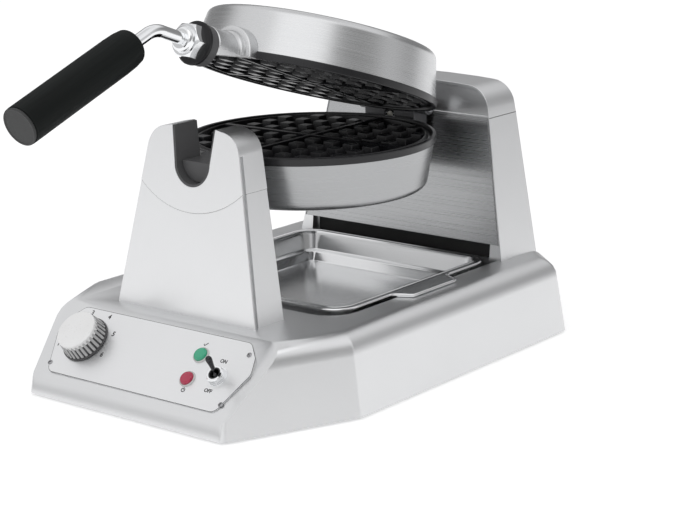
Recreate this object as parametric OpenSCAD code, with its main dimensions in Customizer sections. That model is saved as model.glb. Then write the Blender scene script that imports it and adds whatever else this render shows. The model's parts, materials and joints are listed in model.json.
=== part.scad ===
// Rotary waffle iron for a counter: two hinged round irons turn together between two towers on a wide base.
// Millimetres. X runs to the right, Y to the back and Z up. The modules are written about the centre of the
// irons, and on_bench() moves them so that the origin lies under the middle of the whole machine.

/* [Irons] */
// Diameter of a grid plate over its rim
plate_dia = 196; // [188:1:202]
// Height of the turning axis above the bench
axis_height = 173.7; // [171:0.1:180]
// Depth of an iron from the parting plane to its back
iron_depth = 42; // [38:0.5:43]
// Diameter of an iron housing at its back
housing_back_dia = 180; // [170:1:184]
// Thickness of the housing sheet
housing_wall = 2; // [1.5:0.5:3]
// Corner radius between the wall and the back of a housing
housing_fillet = 7; // [4:0.5:12]
// Height of the black rim of a grid plate
rim_height = 6; // [4:0.5:8]
// Diameter of the waffle
waffle_dia = 177; // [165:1:178]
// Depth of the pockets in a grid plate
pocket_depth = 13; // [9:0.5:15]
// Distance from stud to stud
stud_pitch = 19; // [17:0.5:22]
// Width of a stud at its top
stud_top = 9; // [7:0.5:10]
// Width of a stud at its foot
stud_foot = 13; // [11:0.5:15]
// Width of the walls that quarter the waffle
divider_width = 4; // [3:0.5:6]
// Angle at which the lid stands open
lid_angle = 20.3; // [5:0.1:40]

/* [Hinge and trunnions] */
// Distance from the centre of the irons back to the hinge pin
hinge_back = 110; // [109:0.5:112]
// Height of the hinge pin above the turning axis
hinge_rise = 9.3; // [8:0.1:11]
// Diameter of the hinge pin
pin_dia = 7; // [5:0.5:9]
// Outer radius of the hinge knuckles
knuckle_r = 8; // [6.5:0.5:8.5]
// Width of the knuckle that stands on the lower iron
knuckle_width = 50; // [40:1:56]
// Width of each ear of the lid
ear_width = 9; // [7:0.5:12]
// Diameter of the rear trunnion
trunnion_dia = 18; // [14:1:20]
// Diameter of the bore through the rear trunnion
lead_bore = 6; // [4:0.5:6.5]
// Radius of the journals that rest in the front notch
journal_r = 15.4; // [13:0.1:16]
// Gap between the journals and the notch liner
journal_gap = 0.4; // [0.3:0.1:0.8]
// Thickness of the notch liner
liner_wall = 1.6; // [1.2:0.1:3]

/* [Handle] */
// Diameter of the handle rod
rod_dia = 9.5; // [8:0.5:12]
// Distance from the nut to the bend of the rod
rod_reach = 24; // [20:1:30]
// Angle by which the handle bends down from the turning axis
grip_angle = 41; // [30:1:50]
// Radius of the bend in the rod
bend_r = 22; // [16:1:28]
// Diameter of the grip
grip_dia = 29; // [25:0.5:32]
// Length of the grip
grip_length = 114; // [100:1:125]
// Width of the handle nut across its flats
nut_flats = 24; // [20:0.5:27]

/* [Base] */
// Width of the base at the floor
base_width = 283; // [276:1:300]
// Width of the front edge of the base
front_width = 195; // [185:1:215]
// Width of the rear edge of the base
rear_width = 218; // [212:1:230]
// Distance from the centre of the irons to the front edge
front_reach = 219; // [214:1:226]
// Distance from the centre of the irons to the front corners
front_corner = 120; // [112:1:128]
// Distance from the centre of the irons to the rear corners
rear_corner = 148; // [140:1:154]
// Distance from the centre of the irons to the rear edge
rear_reach = 176; // [172:1:182]
// Height of the base above the bench
base_height = 62; // [60:0.5:64]
// Gap under the base, which is the part of the feet that shows
foot_gap = 2; // [1:0.5:4]
// Lean of the side walls of the base
wall_lean = 8; // [4:0.5:10]
// Radius of the shoulder between the walls and the top
shoulder_r = 16; // [10:1:20]
// Thickness of the base casting
base_wall = 4; // [3:0.5:4]
// Height of the upright front edge above the bench
front_edge = 13.5; // [10:0.5:18]
// Distance from the centre of the irons to the ridge above the panel
ridge_reach = 164.5; // [160:0.5:167]
// Diameter of a foot
foot_dia = 22; // [16:1:28]

/* [Towers] */
// Width of the front tower at the base
front_tower_w = 138.8; // [130:0.2:144]
// Distance from the centre of the irons to the front tower's outer face at the base
front_tower_out = 149.6; // [148:0.2:152]
// Distance from the centre of the irons to the front tower's inner face at the base
front_tower_in = 116.7; // [115:0.1:118]
// Height of the front tower's top above the turning axis
front_tower_top = 26.3; // [22:0.1:30]
// Distance from the turning axis down to the ends of the front cap's seam
front_seam = 16.7; // [14:0.1:22]
// Width of the rear tower at the base
rear_tower_w = 209.5; // [204:0.5:214]
// Distance from the centre of the irons to the rear tower's inner face at the base
rear_tower_in = 109.3; // [109:0.1:110]
// Distance from the centre of the irons to the rear tower's outer face at the base
rear_tower_out = 159.4; // [157:0.2:162]
// Height of the rear tower's top above the turning axis
rear_tower_top = 27.8; // [26:0.1:31]
// Height of the rear cap from its seam to its top
rear_seam = 27; // [24:0.5:28]
// Thickness of the tower castings
tower_wall = 3.5; // [3:0.5:5]
// Width and depth of the slot down each side of the front tower
groove = 3; // [2:0.5:4]

/* [Controls] */
// Width of the control plate
panel_width = 192; // [184:1:194]
// Thickness of the control plate
panel_thick = 1; // [0.8:0.1:1.5]
// Diameter of the knob at its foot
knob_dia = 38; // [34:1:40]
// Height of the knob
knob_height = 14; // [11:0.5:18]
// Distance from the middle of the panel to the knob
knob_offset = 65.5; // [62:0.5:68]
// Distance from the middle of the panel to the lamps
lamp_offset = 46; // [42:0.5:50]
// Distance from the middle of the panel to the switch
switch_offset = 70.5; // [67:0.5:74]
// Diameter of a lamp lens
lamp_dia = 11; // [8:0.5:13]
// Length of the switch lever
lever_length = 18; // [14:0.5:20]
// Tilt of the switch lever to each side of its middle
lever_tilt = 15; // [10:0.5:18]

/* [Drip tray] */
// Outer width and depth of the tray over its rim
tray_size = 194; // [186:1:196]
// Depth of the tray from the rim to its underside
tray_depth = 25; // [20:0.5:28]
// Corner radius of the tray's rim
tray_corner = 22; // [16:1:28]
// Thickness of the tray's sheet
tray_sheet = 1.2; // [1:0.1:2]
// Height of the tray's rim above the base
tray_lift = 3; // [2:0.5:4]
// Clearance between the tray's rim and the recess
recess_gap = 3; // [2:0.5:5]

/* [Hidden] */
$fn = 64;
eps = 0.01;
seat = 0.15;            // half of the gap that stays between the closed irons
run_gap = 0.05;         // radial clearance of a running fit

// panel slope
front_draft = 1.4;      // the front edge leans in by this much
slope_rise = base_height - front_edge;
slope_run = front_reach - front_draft - ridge_reach;
slope_angle = atan2(slope_rise, slope_run);
slope_length = norm([slope_rise, slope_run]);

// handle and tip, which set the front end of the machine
hinge_z = axis_height + hinge_rise;
collar_front = 141.5;   // front face of the collar's flange
nut_length = 9.5;
bend_back = bend_r*tan(grip_angle/2);
corner_back = collar_front + nut_length + rod_reach + bend_back;
grip_start = 24;        // from the rod's corner to the grip
cap_length = 3;
grip_edge = 3;          // edge radius of the grip's ends

// front end of the open handle: the lid frame turned up by lid_angle about the hinge
open_angle = grip_angle - lid_angle;
function opened(y, z) = [y*cos(lid_angle) + z*sin(lid_angle), -y*sin(lid_angle) + z*cos(lid_angle)];
corner_open = opened(-corner_back - hinge_back, -hinge_rise);
tip_along = grip_start + grip_length + cap_length - grip_edge;
tip_front = -(hinge_back + corner_open[0]) + tip_along*cos(open_angle)
    + (grip_dia/2 - grip_edge)*sin(open_angle) + grip_edge;
// the gland behind the base is the rear end
gland_z = 26;
gland_out = 13;
rear_wall_y = rear_reach - (gland_z - foot_gap)*tan(wall_lean);
middle = (rear_wall_y + gland_out - tip_front)/2;

// tray and recess
tray_front = rear_tower_in - 1.3 - tray_size;
recess_x = tray_size/2 + recess_gap;
recess_front = tray_front - 9;
recess_back = 118;
recess_floor = base_height + tray_lift - tray_depth;
tab_out = 15;
sheet_foot = 12.5;      // height of the gap under the rear tower's sheet

// ---------- helpers ----------

module on_bench() translate([0, -middle, 0]) children();
module along_y(y0, y1) translate([0, y1, 0]) rotate([90, 0, 0]) linear_extrude(y1 - y0) children();
module along_x(x0, x1) translate([x0, 0, 0]) rotate([90, 0, 90]) linear_extrude(x1 - x0) children();
module rod_y(r, y0, y1) translate([0, y0, 0]) rotate([-90, 0, 0]) cylinder(r = r, h = y1 - y0);
module rod_x(r, x0, x1) translate([x0, 0, 0]) rotate([0, 90, 0]) cylinder(r = r, h = x1 - x0);
module at_axis() translate([0, 0, axis_height]) children();
module both_sides() { children(); mirror([1, 0, 0]) children(); }

// the lid's frame: z = 0 is the parting plane, turned up about the hinge pin
module lid_place()
    translate([0, hinge_back, hinge_z]) rotate([-lid_angle, 0, 0]) translate([0, -hinge_back, -hinge_rise])
        children();

// the panel's frame: x across, y up the slope, z out of the panel
module panel_place()
    translate([0, -front_reach + front_draft, front_edge]) rotate([slope_angle, 0, 0]) children();

function unit(v) = v/norm(v);
function left(v) = [-v[1], v[0]];
function at(p, i) = p[(i + len(p)) % len(p)];
// convex outline, counter-clockwise, with every edge moved in by d
function inset(p, d) = [for (i = [0:len(p) - 1])
    let (a = left(unit(p[i] - at(p, i - 1))), b = left(unit(at(p, i + 1) - p[i]))) p[i] + d*(a + b)/(1 + a*b)];
// outline with rounded corners; radii holds one radius per corner
function rounded(p, radii, steps = 5) = [for (i = [0:len(p) - 1])
    let (a = unit(at(p, i - 1) - p[i]), b = unit(at(p, i + 1) - p[i]), half = acos(a*b)/2,
         r = radii[i], c = p[i] + unit(a + b)*r/sin(half), s = p[i] + a*r/tan(half) - c,
         start = atan2(s[1], s[0]))
    each r == 0 ? [p[i]] : [for (k = [0:steps]) c + r*[cos(start + (180 - 2*half)*k/steps),
                                                      sin(start + (180 - 2*half)*k/steps)]]];
function all_corners(p, r) = [for (q = p) r];
function at_height(p, z) = [for (q = p) [q[0], q[1], z]];
function rectangle(x, y0, y1) = [[-x, y0], [x, y0], [x, y1], [-x, y1]];

// skin over a stack of closed outlines with as many points each
module loft(rings) {
    n = len(rings[0]);
    last = len(rings) - 1;
    polyhedron([for (r = rings) each r], concat(
        [[for (i = [0:n - 1]) i]],
        [for (k = [0:last - 1]) for (i = [0:n - 1])
            [k*n + i, (k + 1)*n + i, (k + 1)*n + (i + 1) % n, k*n + (i + 1) % n]],
        [[for (i = [n - 1:-1:0]) last*n + i]]));
}

// ---------- base ----------

base_outline = [[front_width/2, -front_reach], [base_width/2, -front_corner], [base_width/2, rear_corner],
    [rear_width/2, rear_reach], [-rear_width/2, rear_reach], [-base_width/2, rear_corner],
    [-base_width/2, -front_corner], [-front_width/2, -front_reach]];
shoulder_z = base_height - shoulder_r;
edge_radius = 6;
// how far the wall has leant in at height z
function wall_in(z) = (z - foot_gap)*tan(wall_lean);
// insets and heights of the outer skin, from the lower edge over the shoulder
base_levels = concat([[0, foot_gap], [wall_in(shoulder_z), shoulder_z]],
    [for (k = [1:5]) let (a = 90*k/5)
        [wall_in(shoulder_z) + shoulder_r*(1 - cos(a)), shoulder_z + shoulder_r*sin(a)]]);
function base_ring(d, z) =
    at_height(rounded(inset(base_outline, d), all_corners(base_outline, edge_radius), 4), z);

// how far a level of the skin drops when the skin moves in by d and starts lower by low
function level_drop(z, d, low) = z > shoulder_z ? d : z == foot_gap ? low : 0;
module base_block(d = 0, low = 0)
    difference() {
        loft([for (l = base_levels) base_ring(l[0] + d, l[1] - level_drop(l[1], d, low))]);
        panel_place() translate([-base_width, -base_width, -d]) cube([2*base_width, 2*base_width, base_width]);
    }

module recess(d = 0) {
    half = rectangle(recess_x + d, recess_front - d, recess_back + d);
    r = tray_corner + recess_gap + d;
    translate([0, 0, recess_floor - d]) linear_extrude(base_height)
        polygon(rounded(half, [r, r, 4, 4]));
}

panel_hole_r = 5;
module base_housing() on_bench() color([0.80, 0.81, 0.82]) difference() {
    base_block();
    difference() {
        base_block(base_wall, 1);
        recess(base_wall/2);
        for (p = bottom_screw_places) translate([p[0], p[1], 0]) cylinder(r = screw_boss_r, h = base_height);
    }
    // the bottom plate closes the lower edge between the bosses
    translate([0, 0, foot_gap - 1]) linear_extrude(bottom_thick + 1) polygon(base_floor(base_wall));
    for (p = bottom_screw_places) translate([p[0], p[1], 0]) cylinder(r = screw_r + run_gap, h = 14);
    recess();
    front_tower_solid();
    rear_tower_solid();
    panel_place() {
        for (p = [[-knob_offset, knob_up], [switch_offset, switch_up]]) through_wall(p, panel_hole_r + 2);
        for (y = [ready_up, power_up]) through_wall([lamp_offset, y], lamp_dia/2 - 0.5);
    }
    translate([gland_x, 0, gland_z]) rod_y(gland_r, rear_reach - 20, rear_reach + 5);
    // wire way into the rear tower
    translate([0, 0, base_height]) through_wall([0, (recess_back + rear_tower_out)/2], 8);
}
module through_wall(p, r) translate([p[0], p[1], -2*base_wall]) cylinder(r = r, h = 4*base_wall);

gland_x = -70;
gland_r = 8;
gland_face = (gland_r + 3)*tan(wall_lean) + 0.2;     // clears the leaning wall
bottom_thick = 1.5;
foot_places = [[-70, -195], [70, -195], [-112, 138], [112, 138]];
bottom_screw_places = [[-88, -178], [88, -178], [-124, 0], [124, 0], [-40, 160], [40, 160]];
screw_boss_r = 5;
screw_r = 2.1;
function base_floor(d) = rounded(inset(base_outline, d), all_corners(base_outline, edge_radius), 4);

module base_bottom_plate() on_bench() color([0.62, 0.63, 0.65]) difference() {
    translate([0, 0, foot_gap]) linear_extrude(bottom_thick) polygon(base_floor(base_wall + 0.6));
    for (p = foot_places) translate([p[0], p[1], 0]) cylinder(r = 2.6, h = 10);
    for (p = bottom_screw_places) translate([p[0], p[1], 0]) cylinder(r = screw_r + run_gap, h = 10);
}

foot_stem = 4;
module base_feet() on_bench() color([0.08, 0.08, 0.08]) for (p = foot_places) translate([p[0], p[1], 0]) {
    cylinder(r1 = foot_dia/2 - 0.6, r2 = foot_dia/2, h = 0.6);
    translate([0, 0, 0.6]) cylinder(r = foot_dia/2, h = foot_gap - 0.6);
    cylinder(r = 2.55, h = foot_gap + bottom_thick);
    translate([0, 0, foot_gap + bottom_thick]) cylinder(r1 = foot_stem + 1, r2 = foot_stem - 1, h = foot_stem);
}

module bottom_plate_screws() on_bench() color([0.7, 0.7, 0.72])
    for (p = bottom_screw_places) translate([p[0], p[1], 0]) {
        translate([0, 0, foot_gap - 1.4]) cylinder(r1 = 3, r2 = 3.8, h = 1.4);
        cylinder(r = screw_r, h = foot_gap + bottom_thick + 8);
    }

// ---------- controls, in the panel's frame ----------

knob_up = 40;
ready_up = 49;
power_up = 28.5;
switch_up = 35.5;
panel_edge_up = 8.5;
// half outline of the control plate, widest where the shoulder starts
panel_outline = rounded([[-panel_width/2 + 12, panel_edge_up], [panel_width/2 - 12, panel_edge_up],
    [panel_width/2 + 1, 43], [panel_width/2 - 3, 56], [panel_width/2 - 13, slope_length - 5],
    [-panel_width/2 + 13, slope_length - 5], [-panel_width/2 + 3, 56], [-panel_width/2 - 1, 43]],
    [7, 7, 8, 5, 7, 7, 5, 8], 4);
panel_screw_places = [[-86, 15.5], [86, 15.5], [86.5, 57.5], [-86.5, 57.5]];

module control_panel() on_bench() panel_place() color([0.84, 0.85, 0.86]) difference() {
    linear_extrude(panel_thick) polygon(panel_outline);
    translate([-knob_offset, knob_up, -1]) cylinder(r = panel_hole_r, h = 5);
    translate([switch_offset, switch_up, -1]) cylinder(r = panel_hole_r + 1, h = 5);
    for (y = [ready_up, power_up]) translate([lamp_offset, y, -1]) cylinder(r = lamp_dia/2 - 0.5, h = 5);
    for (p = panel_screw_places) translate([p[0], p[1], -1]) cylinder(r = 1.7, h = 5);
}

module panel_screws() on_bench() panel_place() color([0.75, 0.75, 0.77])
    for (p = panel_screw_places) translate([p[0], p[1], 0]) {
        difference() {
            translate([0, 0, panel_thick]) cylinder(r1 = 3, r2 = 2.2, h = 1.1);
            translate([-0.4, -4, panel_thick + 0.6]) cube([0.8, 8, 2]);
        }
        cylinder(r = 1.6, h = panel_thick);
    }

knob_shaft_r = 3;
thermostat_size = [34, 30, 21.7];
switch_size = [15, 26, 19.7];
// a body mounted behind the panel's wall
module behind_panel(size) translate([-size[0]/2, -size[1]/2, -base_wall - 0.3 - size[2]]) cube(size);

module on_panel(x, up, z = 0) on_bench() panel_place() translate([x, up, z]) children();
module thermostat_body() on_panel(-knob_offset, knob_up) color([0.72, 0.70, 0.62]) {
    behind_panel(thermostat_size);
    translate([0, 0, -base_wall - 1]) cylinder(r = panel_hole_r - 0.6, h = base_wall + 1 + panel_thick);
    cylinder(r = knob_shaft_r, h = panel_thick + knob_height - 5);
}

module control_knob() on_panel(-knob_offset, knob_up, panel_thick + 0.4)
    color([0.93, 0.93, 0.92]) difference() {
        union() {
            cylinder(r = knob_dia/2, h = 1.4);
            translate([0, 0, 1.4]) difference() {
                cylinder(r1 = knob_dia/2 - 1, r2 = knob_dia/2 - 3, h = knob_height - 2.4);
                // finger grooves down the skirt
                for (k = [0:knob_grooves - 1]) rotate([0, 0, 360*k/knob_grooves])
                    translate([knob_dia/2 - 0.6, 0, -1]) rotate([0, -11, 0])
                        cylinder(r = 0.9, h = knob_height, $fn = 4);
            }
            translate([0, 0, knob_height - 1 - eps])
                cylinder(r1 = knob_dia/2 - 3, r2 = knob_dia/2 - 3.8, h = 1 + eps);
        }
        translate([0, 0, -1]) cylinder(r = knob_shaft_r + run_gap, h = knob_height - 3.4);
        rotate([0, 0, 199]) translate([knob_dia/2 - 9, -0.6, knob_height - 0.5]) cube([12, 1.2, 2]);
    }
knob_grooves = 30;

pivot_z = 3;            // height of the lever's pivot over the panel
ball_r = 3;             // ball that the lever rocks on
pivot_r = 1;            // pin through the ball
module switch_body() on_panel(switch_offset, switch_up) color([0.12, 0.12, 0.13])
    difference() {
        union() {
            behind_panel(switch_size);
            translate([0, 0, -base_wall - 1]) cylinder(r = panel_hole_r + 0.6, h = base_wall + 7);
        }
        translate([0, 0, pivot_z]) rod_x(pivot_r + run_gap, -panel_hole_r - 1, panel_hole_r + 1);
        translate([0, 0, pivot_z - ball_r - 0.3]) cylinder(r = ball_r + 0.3, h = ball_r + 0.3 + eps);
        translate([0, 0, pivot_z]) cylinder(r1 = ball_r + 0.3, r2 = ball_r + 1.7, h = 8);
    }

module switch_nut() on_panel(switch_offset, switch_up, panel_thick) color([0.78, 0.79, 0.8])
    difference() {
        union() {
            cylinder(r = 8, h = 0.8);
            translate([0, 0, 0.8]) cylinder(r = 7.4, h = 2.8, $fn = 6);
        }
        translate([0, 0, -1]) cylinder(r = panel_hole_r + 0.65, h = 6);
    }

module switch_lever() on_panel(switch_offset, switch_up, pivot_z)
    rotate([-lever_tilt, 0, 0]) color([0.8, 0.8, 0.82]) {
        sphere(r = ball_r, $fn = 32);
        rod_x(pivot_r, -ball_r - 1.4, ball_r + 1.4);
        cylinder(r1 = 1.5, r2 = 2.4, h = lever_length - 2.4);
        translate([0, 0, lever_length - 2.4]) sphere(r = 2.4, $fn = 32);
    }

module lamp() {
    translate([0, 0, -base_wall - 12]) cylinder(r = lamp_dia/2 - 0.6, h = base_wall + 12 + panel_thick);
    translate([0, 0, panel_thick]) cylinder(r = lamp_dia/2 + 1, h = 1);
    translate([0, 0, panel_thick + 1]) cylinder(r = lamp_dia/2, h = 1);
    translate([0, 0, panel_thick + 2]) cylinder(r1 = lamp_dia/2, r2 = lamp_dia/2 - 1.6, h = 1.2);
}
module ready_lamp() on_panel(lamp_offset, ready_up) color([0.10, 0.60, 0.35]) lamp();
module power_lamp() on_panel(lamp_offset, power_up) color([0.75, 0.05, 0.12]) lamp();

// ---------- electrical pieces at the back ----------

module cable_gland() on_bench() translate([gland_x, 0, gland_z]) color([0.1, 0.1, 0.1]) difference() {
    union() {
        rod_y(gland_r - 0.3, rear_wall_y - 14, rear_wall_y + 2);
        rod_y(gland_r + 3, rear_wall_y + gland_face, rear_wall_y + 4);
        translate([0, rear_wall_y + 4, 0]) rotate([-90, 0, 0])
            cylinder(r1 = gland_r + 1, r2 = 6.5, h = gland_out - 4);
        translate([0, rear_wall_y - 12, 0]) rotate([-90, 0, 0]) cylinder(r = gland_r + 4, h = 6, $fn = 6);
    }
    rod_y(4.5, rear_wall_y - 20, rear_wall_y + 20);
}

terminals = 5;
terminal_pitch = 11.5;
terminal_size = [terminals*terminal_pitch + 4.5, 20, 16];
terminal_x = gland_x + 26;
module terminal_block() on_bench() color([0.85, 0.83, 0.76])
    translate([terminal_x, rear_corner - terminal_size[1], foot_gap + bottom_thick]) difference() {
        cube(terminal_size);
        for (k = [0:terminals - 1]) translate([8 + terminal_pitch*k, terminal_size[1]/2, terminal_size[2]/2])
            cylinder(r = 3, h = terminal_size[2]);
    }

// ---------- towers ----------

// heights that go with the turning axis
front_top_z = axis_height + front_tower_top;
front_seam_z = axis_height - front_seam;
rear_top_z = axis_height + rear_tower_top;
rear_seam_z = rear_top_z - rear_seam;
// lean of each face, in mm for each mm of height
front_lean_out = 0.1273;
front_lean_in = 0.0669;
front_taper = 0.1926;
function front_half(z) = front_tower_w/2 - front_taper*(z - base_height);
function front_y(z) = -front_tower_out + front_lean_out*(z - base_height);
function front_in_y(z) = -front_tower_in + front_lean_in*(z - base_height);
rear_lean_in = 0.125;
rear_lean_out = 0.023;
rear_taper = 0.187;
function rear_half(z) = rear_tower_w/2 - rear_taper*(z - base_height);
function rear_in_y(z) = rear_tower_in + rear_lean_in*(z - base_height);
function rear_out_y(z) = rear_tower_out + rear_lean_out*(z - base_height);

// outline with half widths a at height z0 and b at height z1
module trapezoid(a, z0, b, z1) polygon([[-a, z0], [a, z0], [b, z1], [-b, z1]]);

// a tower seen from the front, from height z0 to z1
horn_corner = 19;
horn_drop = 3.5;        // fall of the front tower's top from the notch to the corners
module front_face(z0, z1)
    polygon(rounded([[-front_half(z0), z0], [front_half(z0), z0],
        [front_half(z1), z1 - horn_drop], [notch_top_half, z1], [-notch_top_half, z1],
        [-front_half(z1), z1 - horn_drop]], [0, 0, horn_corner, 0, 0, horn_corner], 8));
rear_corner_r = 22;
rear_drop = 3;          // fall of the rear tower's arched top from its middle to the corners
module rear_face(z0, z1, d = 0)
    polygon(rounded(concat([[-rear_half(z0) + d, z0], [rear_half(z0) - d, z0]],
        [for (u = [1:-0.4:-1.1]) [u*(rear_half(z1) - d), z1 - d - rear_drop*pow(u, 2)]]),
        [0, 0, rear_corner_r - d, 0, 0, 0, 0, rear_corner_r - d], 8));

// slabs between two leaning faces, from a behind the inner or outer face
module lean_slab(z1, near0, near1, far0, far1)
    along_x(-base_width, base_width) polygon([[near0, 0], [far0, 0], [far1, z1], [near1, z1]]);
slab_top = 2*axis_height;
module front_slab(a = 0, b = 0)
    lean_slab(slab_top, front_y(0) + a, front_y(slab_top) + a, front_in_y(0) - b, front_in_y(slab_top) - b);
module rear_slab(a = 0, b = 0)
    lean_slab(slab_top, rear_in_y(0) + a, rear_in_y(slab_top) + a, rear_out_y(0) - b, rear_out_y(slab_top) - b);
// layer of the rear tower from its inner face to a depth t
module rear_layer(t)
    lean_slab(slab_top, rear_in_y(0) - 20, rear_in_y(slab_top) - 20, rear_in_y(0) + t, rear_in_y(slab_top) + t);

let_in = 2;             // the towers stand this deep in the base
tower_foot = base_height - let_in;
slot_lip = 1.2;         // edge of the front face before the slot
slot_top = front_top_z - 17;
side_step = 0.6;        // the side behind the slot is set in by this much
// cut down each side of the front tower, y0 to y1 behind its front face and d deep
module side_cut(y0, y1, d)
    intersection() {
        lean_slab(slab_top, front_y(0) + y0, front_y(slab_top) + y0, front_y(0) + y1, front_y(slab_top) + y1);
        along_y(-base_width, 0) both_sides() polygon([[front_half(0) - d, 0], [front_half(0) + d, 0],
            [front_half(slot_top) + d, slot_top], [front_half(slot_top) - d, slot_top]]);
    }
module front_tower_solid() difference() {
    intersection() {
        front_slab();
        along_y(-base_width, 0) front_face(tower_foot, front_top_z);
    }
    side_cut(slot_lip, slot_lip + groove, groove);
    side_cut(slot_lip, front_tower_out, side_step);
}
module rear_tower_solid()
    intersection() {
        rear_slab();
        along_y(0, base_width) rear_face(tower_foot, rear_top_z);
    }

notch_r = journal_r + journal_gap + liner_wall;
notch_top_half = notch_r + 4.6;
module notch(r, top)
    translate([0, axis_height]) {
        circle(r = r);
        polygon([[-r, 0], [r, 0], [top, front_tower_top + 5], [-top, front_tower_top + 5]]);
    }

seam_r = 77;            // radius of the seam across the front cap
seam_centre = front_seam_z + sqrt(pow(seam_r, 2) - pow(front_half(front_seam_z) - 1, 2)) - 1;
module cap_zone() {
    along_y(-base_width, 0) {
        translate([-base_width, front_seam_z]) square([2*base_width, base_width]);
        translate([0, seam_centre]) circle(r = seam_r, $fn = 128);
    }
}

side_wall = 9;          // wall between the hollow of a tower and its sides
hollow_top = seam_centre - seam_r - 9.5;
module front_tower() on_bench() color([0.82, 0.83, 0.84]) difference() {
    front_tower_solid();
    cap_zone();
    // hollow inside, open to the base
    intersection() {
        front_slab(groove + tower_wall, tower_wall);
        along_y(-base_width, 0) trapezoid(front_half(base_height) - side_wall, tower_foot - 1,
            front_half(hollow_top) - side_wall, hollow_top);
    }
}

module front_tower_cap() on_bench() color([0.85, 0.86, 0.87]) difference() {
    intersection() {
        front_tower_solid();
        translate([0, 0, eps]) cap_zone();
    }
    along_y(-base_width, 0) notch(notch_r, notch_top_half);
}

module notch_liner() on_bench() color([0.22, 0.22, 0.23]) difference() {
    intersection() {
        front_slab(0.6, 0);
        along_y(-base_width, 0) intersection() {
            notch(notch_r, notch_top_half);
            translate([-base_width, 0]) square([2*base_width, front_top_z - 0.4]);
        }
    }
    along_y(-base_width, 0) notch(notch_r - liner_wall, notch_top_half - liner_wall);
}

bearing_r = trunnion_dia/2 + run_gap;
bush_wall = 4;
bush_r = bearing_r + bush_wall;
module shaft_way() at_axis() rod_y(bush_r + 0.4, rear_tower_in, block_y + 1);
// hollow inside the rear tower, with a thicker front wall below for the undercut
module rear_hollow() {
    intersection() {
        rear_slab(rear_web, tower_wall);
        translate([-base_width, 0, undercut_top + tower_wall]) cube([2*base_width, base_width, base_width]);
        along_y(0, base_width) rear_face(base_height, rear_top_z, side_wall);
    }
    intersection() {
        rear_slab(recess_back - rear_tower_in + tower_wall, tower_wall);
        along_y(0, base_width) trapezoid(rear_half(base_height) - side_wall, tower_foot - 1,
            rear_half(undercut_top) - side_wall, undercut_top + tower_wall + eps);
    }
}
undercut_top = base_height + sheet_foot;
rear_web = tower_wall + 3;      // front wall of the rear tower with its sheet

module rear_tower() on_bench() color([0.80, 0.81, 0.82]) difference() {
    intersection() {
        rear_tower_solid();
        translate([-base_width, 0, 0]) cube([2*base_width, base_width, rear_seam_z]);
    }
    // bed of the front sheet
    intersection() {
        rear_sheet_zone(0);
        rear_layer(sheet_thick);
    }
    // undercut that the tray's rim reaches into
    translate([-rear_half(base_height) + 12, 0, tower_foot - 1])
        cube([2*rear_half(base_height) - 24, recess_back, undercut_top - tower_foot + 1]);
    rear_hollow();
    shaft_way();
}

sheet_thick = 1.2;
sheet_edge = 1;         // flange of the tower beside its sheet
sheet_slit = 1.2;       // open joint between the flange and the sheet
module rear_sheet_zone(gap)
    along_y(0, base_width) trapezoid(rear_half(undercut_top) - sheet_edge - gap, undercut_top,
        rear_half(rear_seam_z) - sheet_edge - gap, rear_seam_z);

module rear_tower_sheet() on_bench() color([0.66, 0.67, 0.68]) difference() {
    intersection() {
        rear_slab();
        rear_sheet_zone(sheet_slit);
        rear_layer(sheet_thick);
    }
    shaft_way();
}

lip = 2.4;              // width of the bright lip round the front of the rear cap
lip_depth = 1.4;
cap_foot = 1.5;         // narrow ledge left under the cap's face
module rear_tower_cap() on_bench() color([0.85, 0.86, 0.87]) difference() {
    intersection() {
        rear_tower_solid();
        translate([-base_width, 0, rear_seam_z + eps]) cube([2*base_width, base_width, base_width]);
    }
    // face set back inside the lip
    intersection() {
        rear_layer(lip_depth);
        along_y(0, base_width) rear_face(rear_seam_z + cap_foot, rear_top_z, lip);
    }
    rear_hollow();
    shaft_way();
}

bush_front = rear_in_y(axis_height) - 1.2;
// the block stands clear of the tower's leaning front wall
block_half = 26;
block_low = 40;
block_high = 18;
block_thick = 12;
block_y = rear_in_y(axis_height + block_high + 2) + rear_web + 0.3;
module rear_bearing_block() on_bench() at_axis() color([0.55, 0.56, 0.58]) difference() {
    translate([-block_half, block_y, -block_low]) cube([2*block_half, block_thick, block_low + block_high]);
    rod_y(bush_r + eps, block_y - 1, block_y + block_thick + 1);
    both_sides() translate([block_half - 6, 0, 7 - block_low])
        rod_y(2.7, block_y - 1, block_y + block_thick + 1);
}

module rear_bearing_bush() on_bench() at_axis() color([0.72, 0.52, 0.28]) difference() {
    union() {
        rod_y(bush_r, bush_front, block_y + block_thick);
        rod_y(bush_r + 3, block_y + block_thick, block_y + block_thick + 2);
    }
    rod_y(bearing_r, bush_front - 1, block_y + block_thick + 3);
}

// ---------- drip tray ----------

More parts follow.
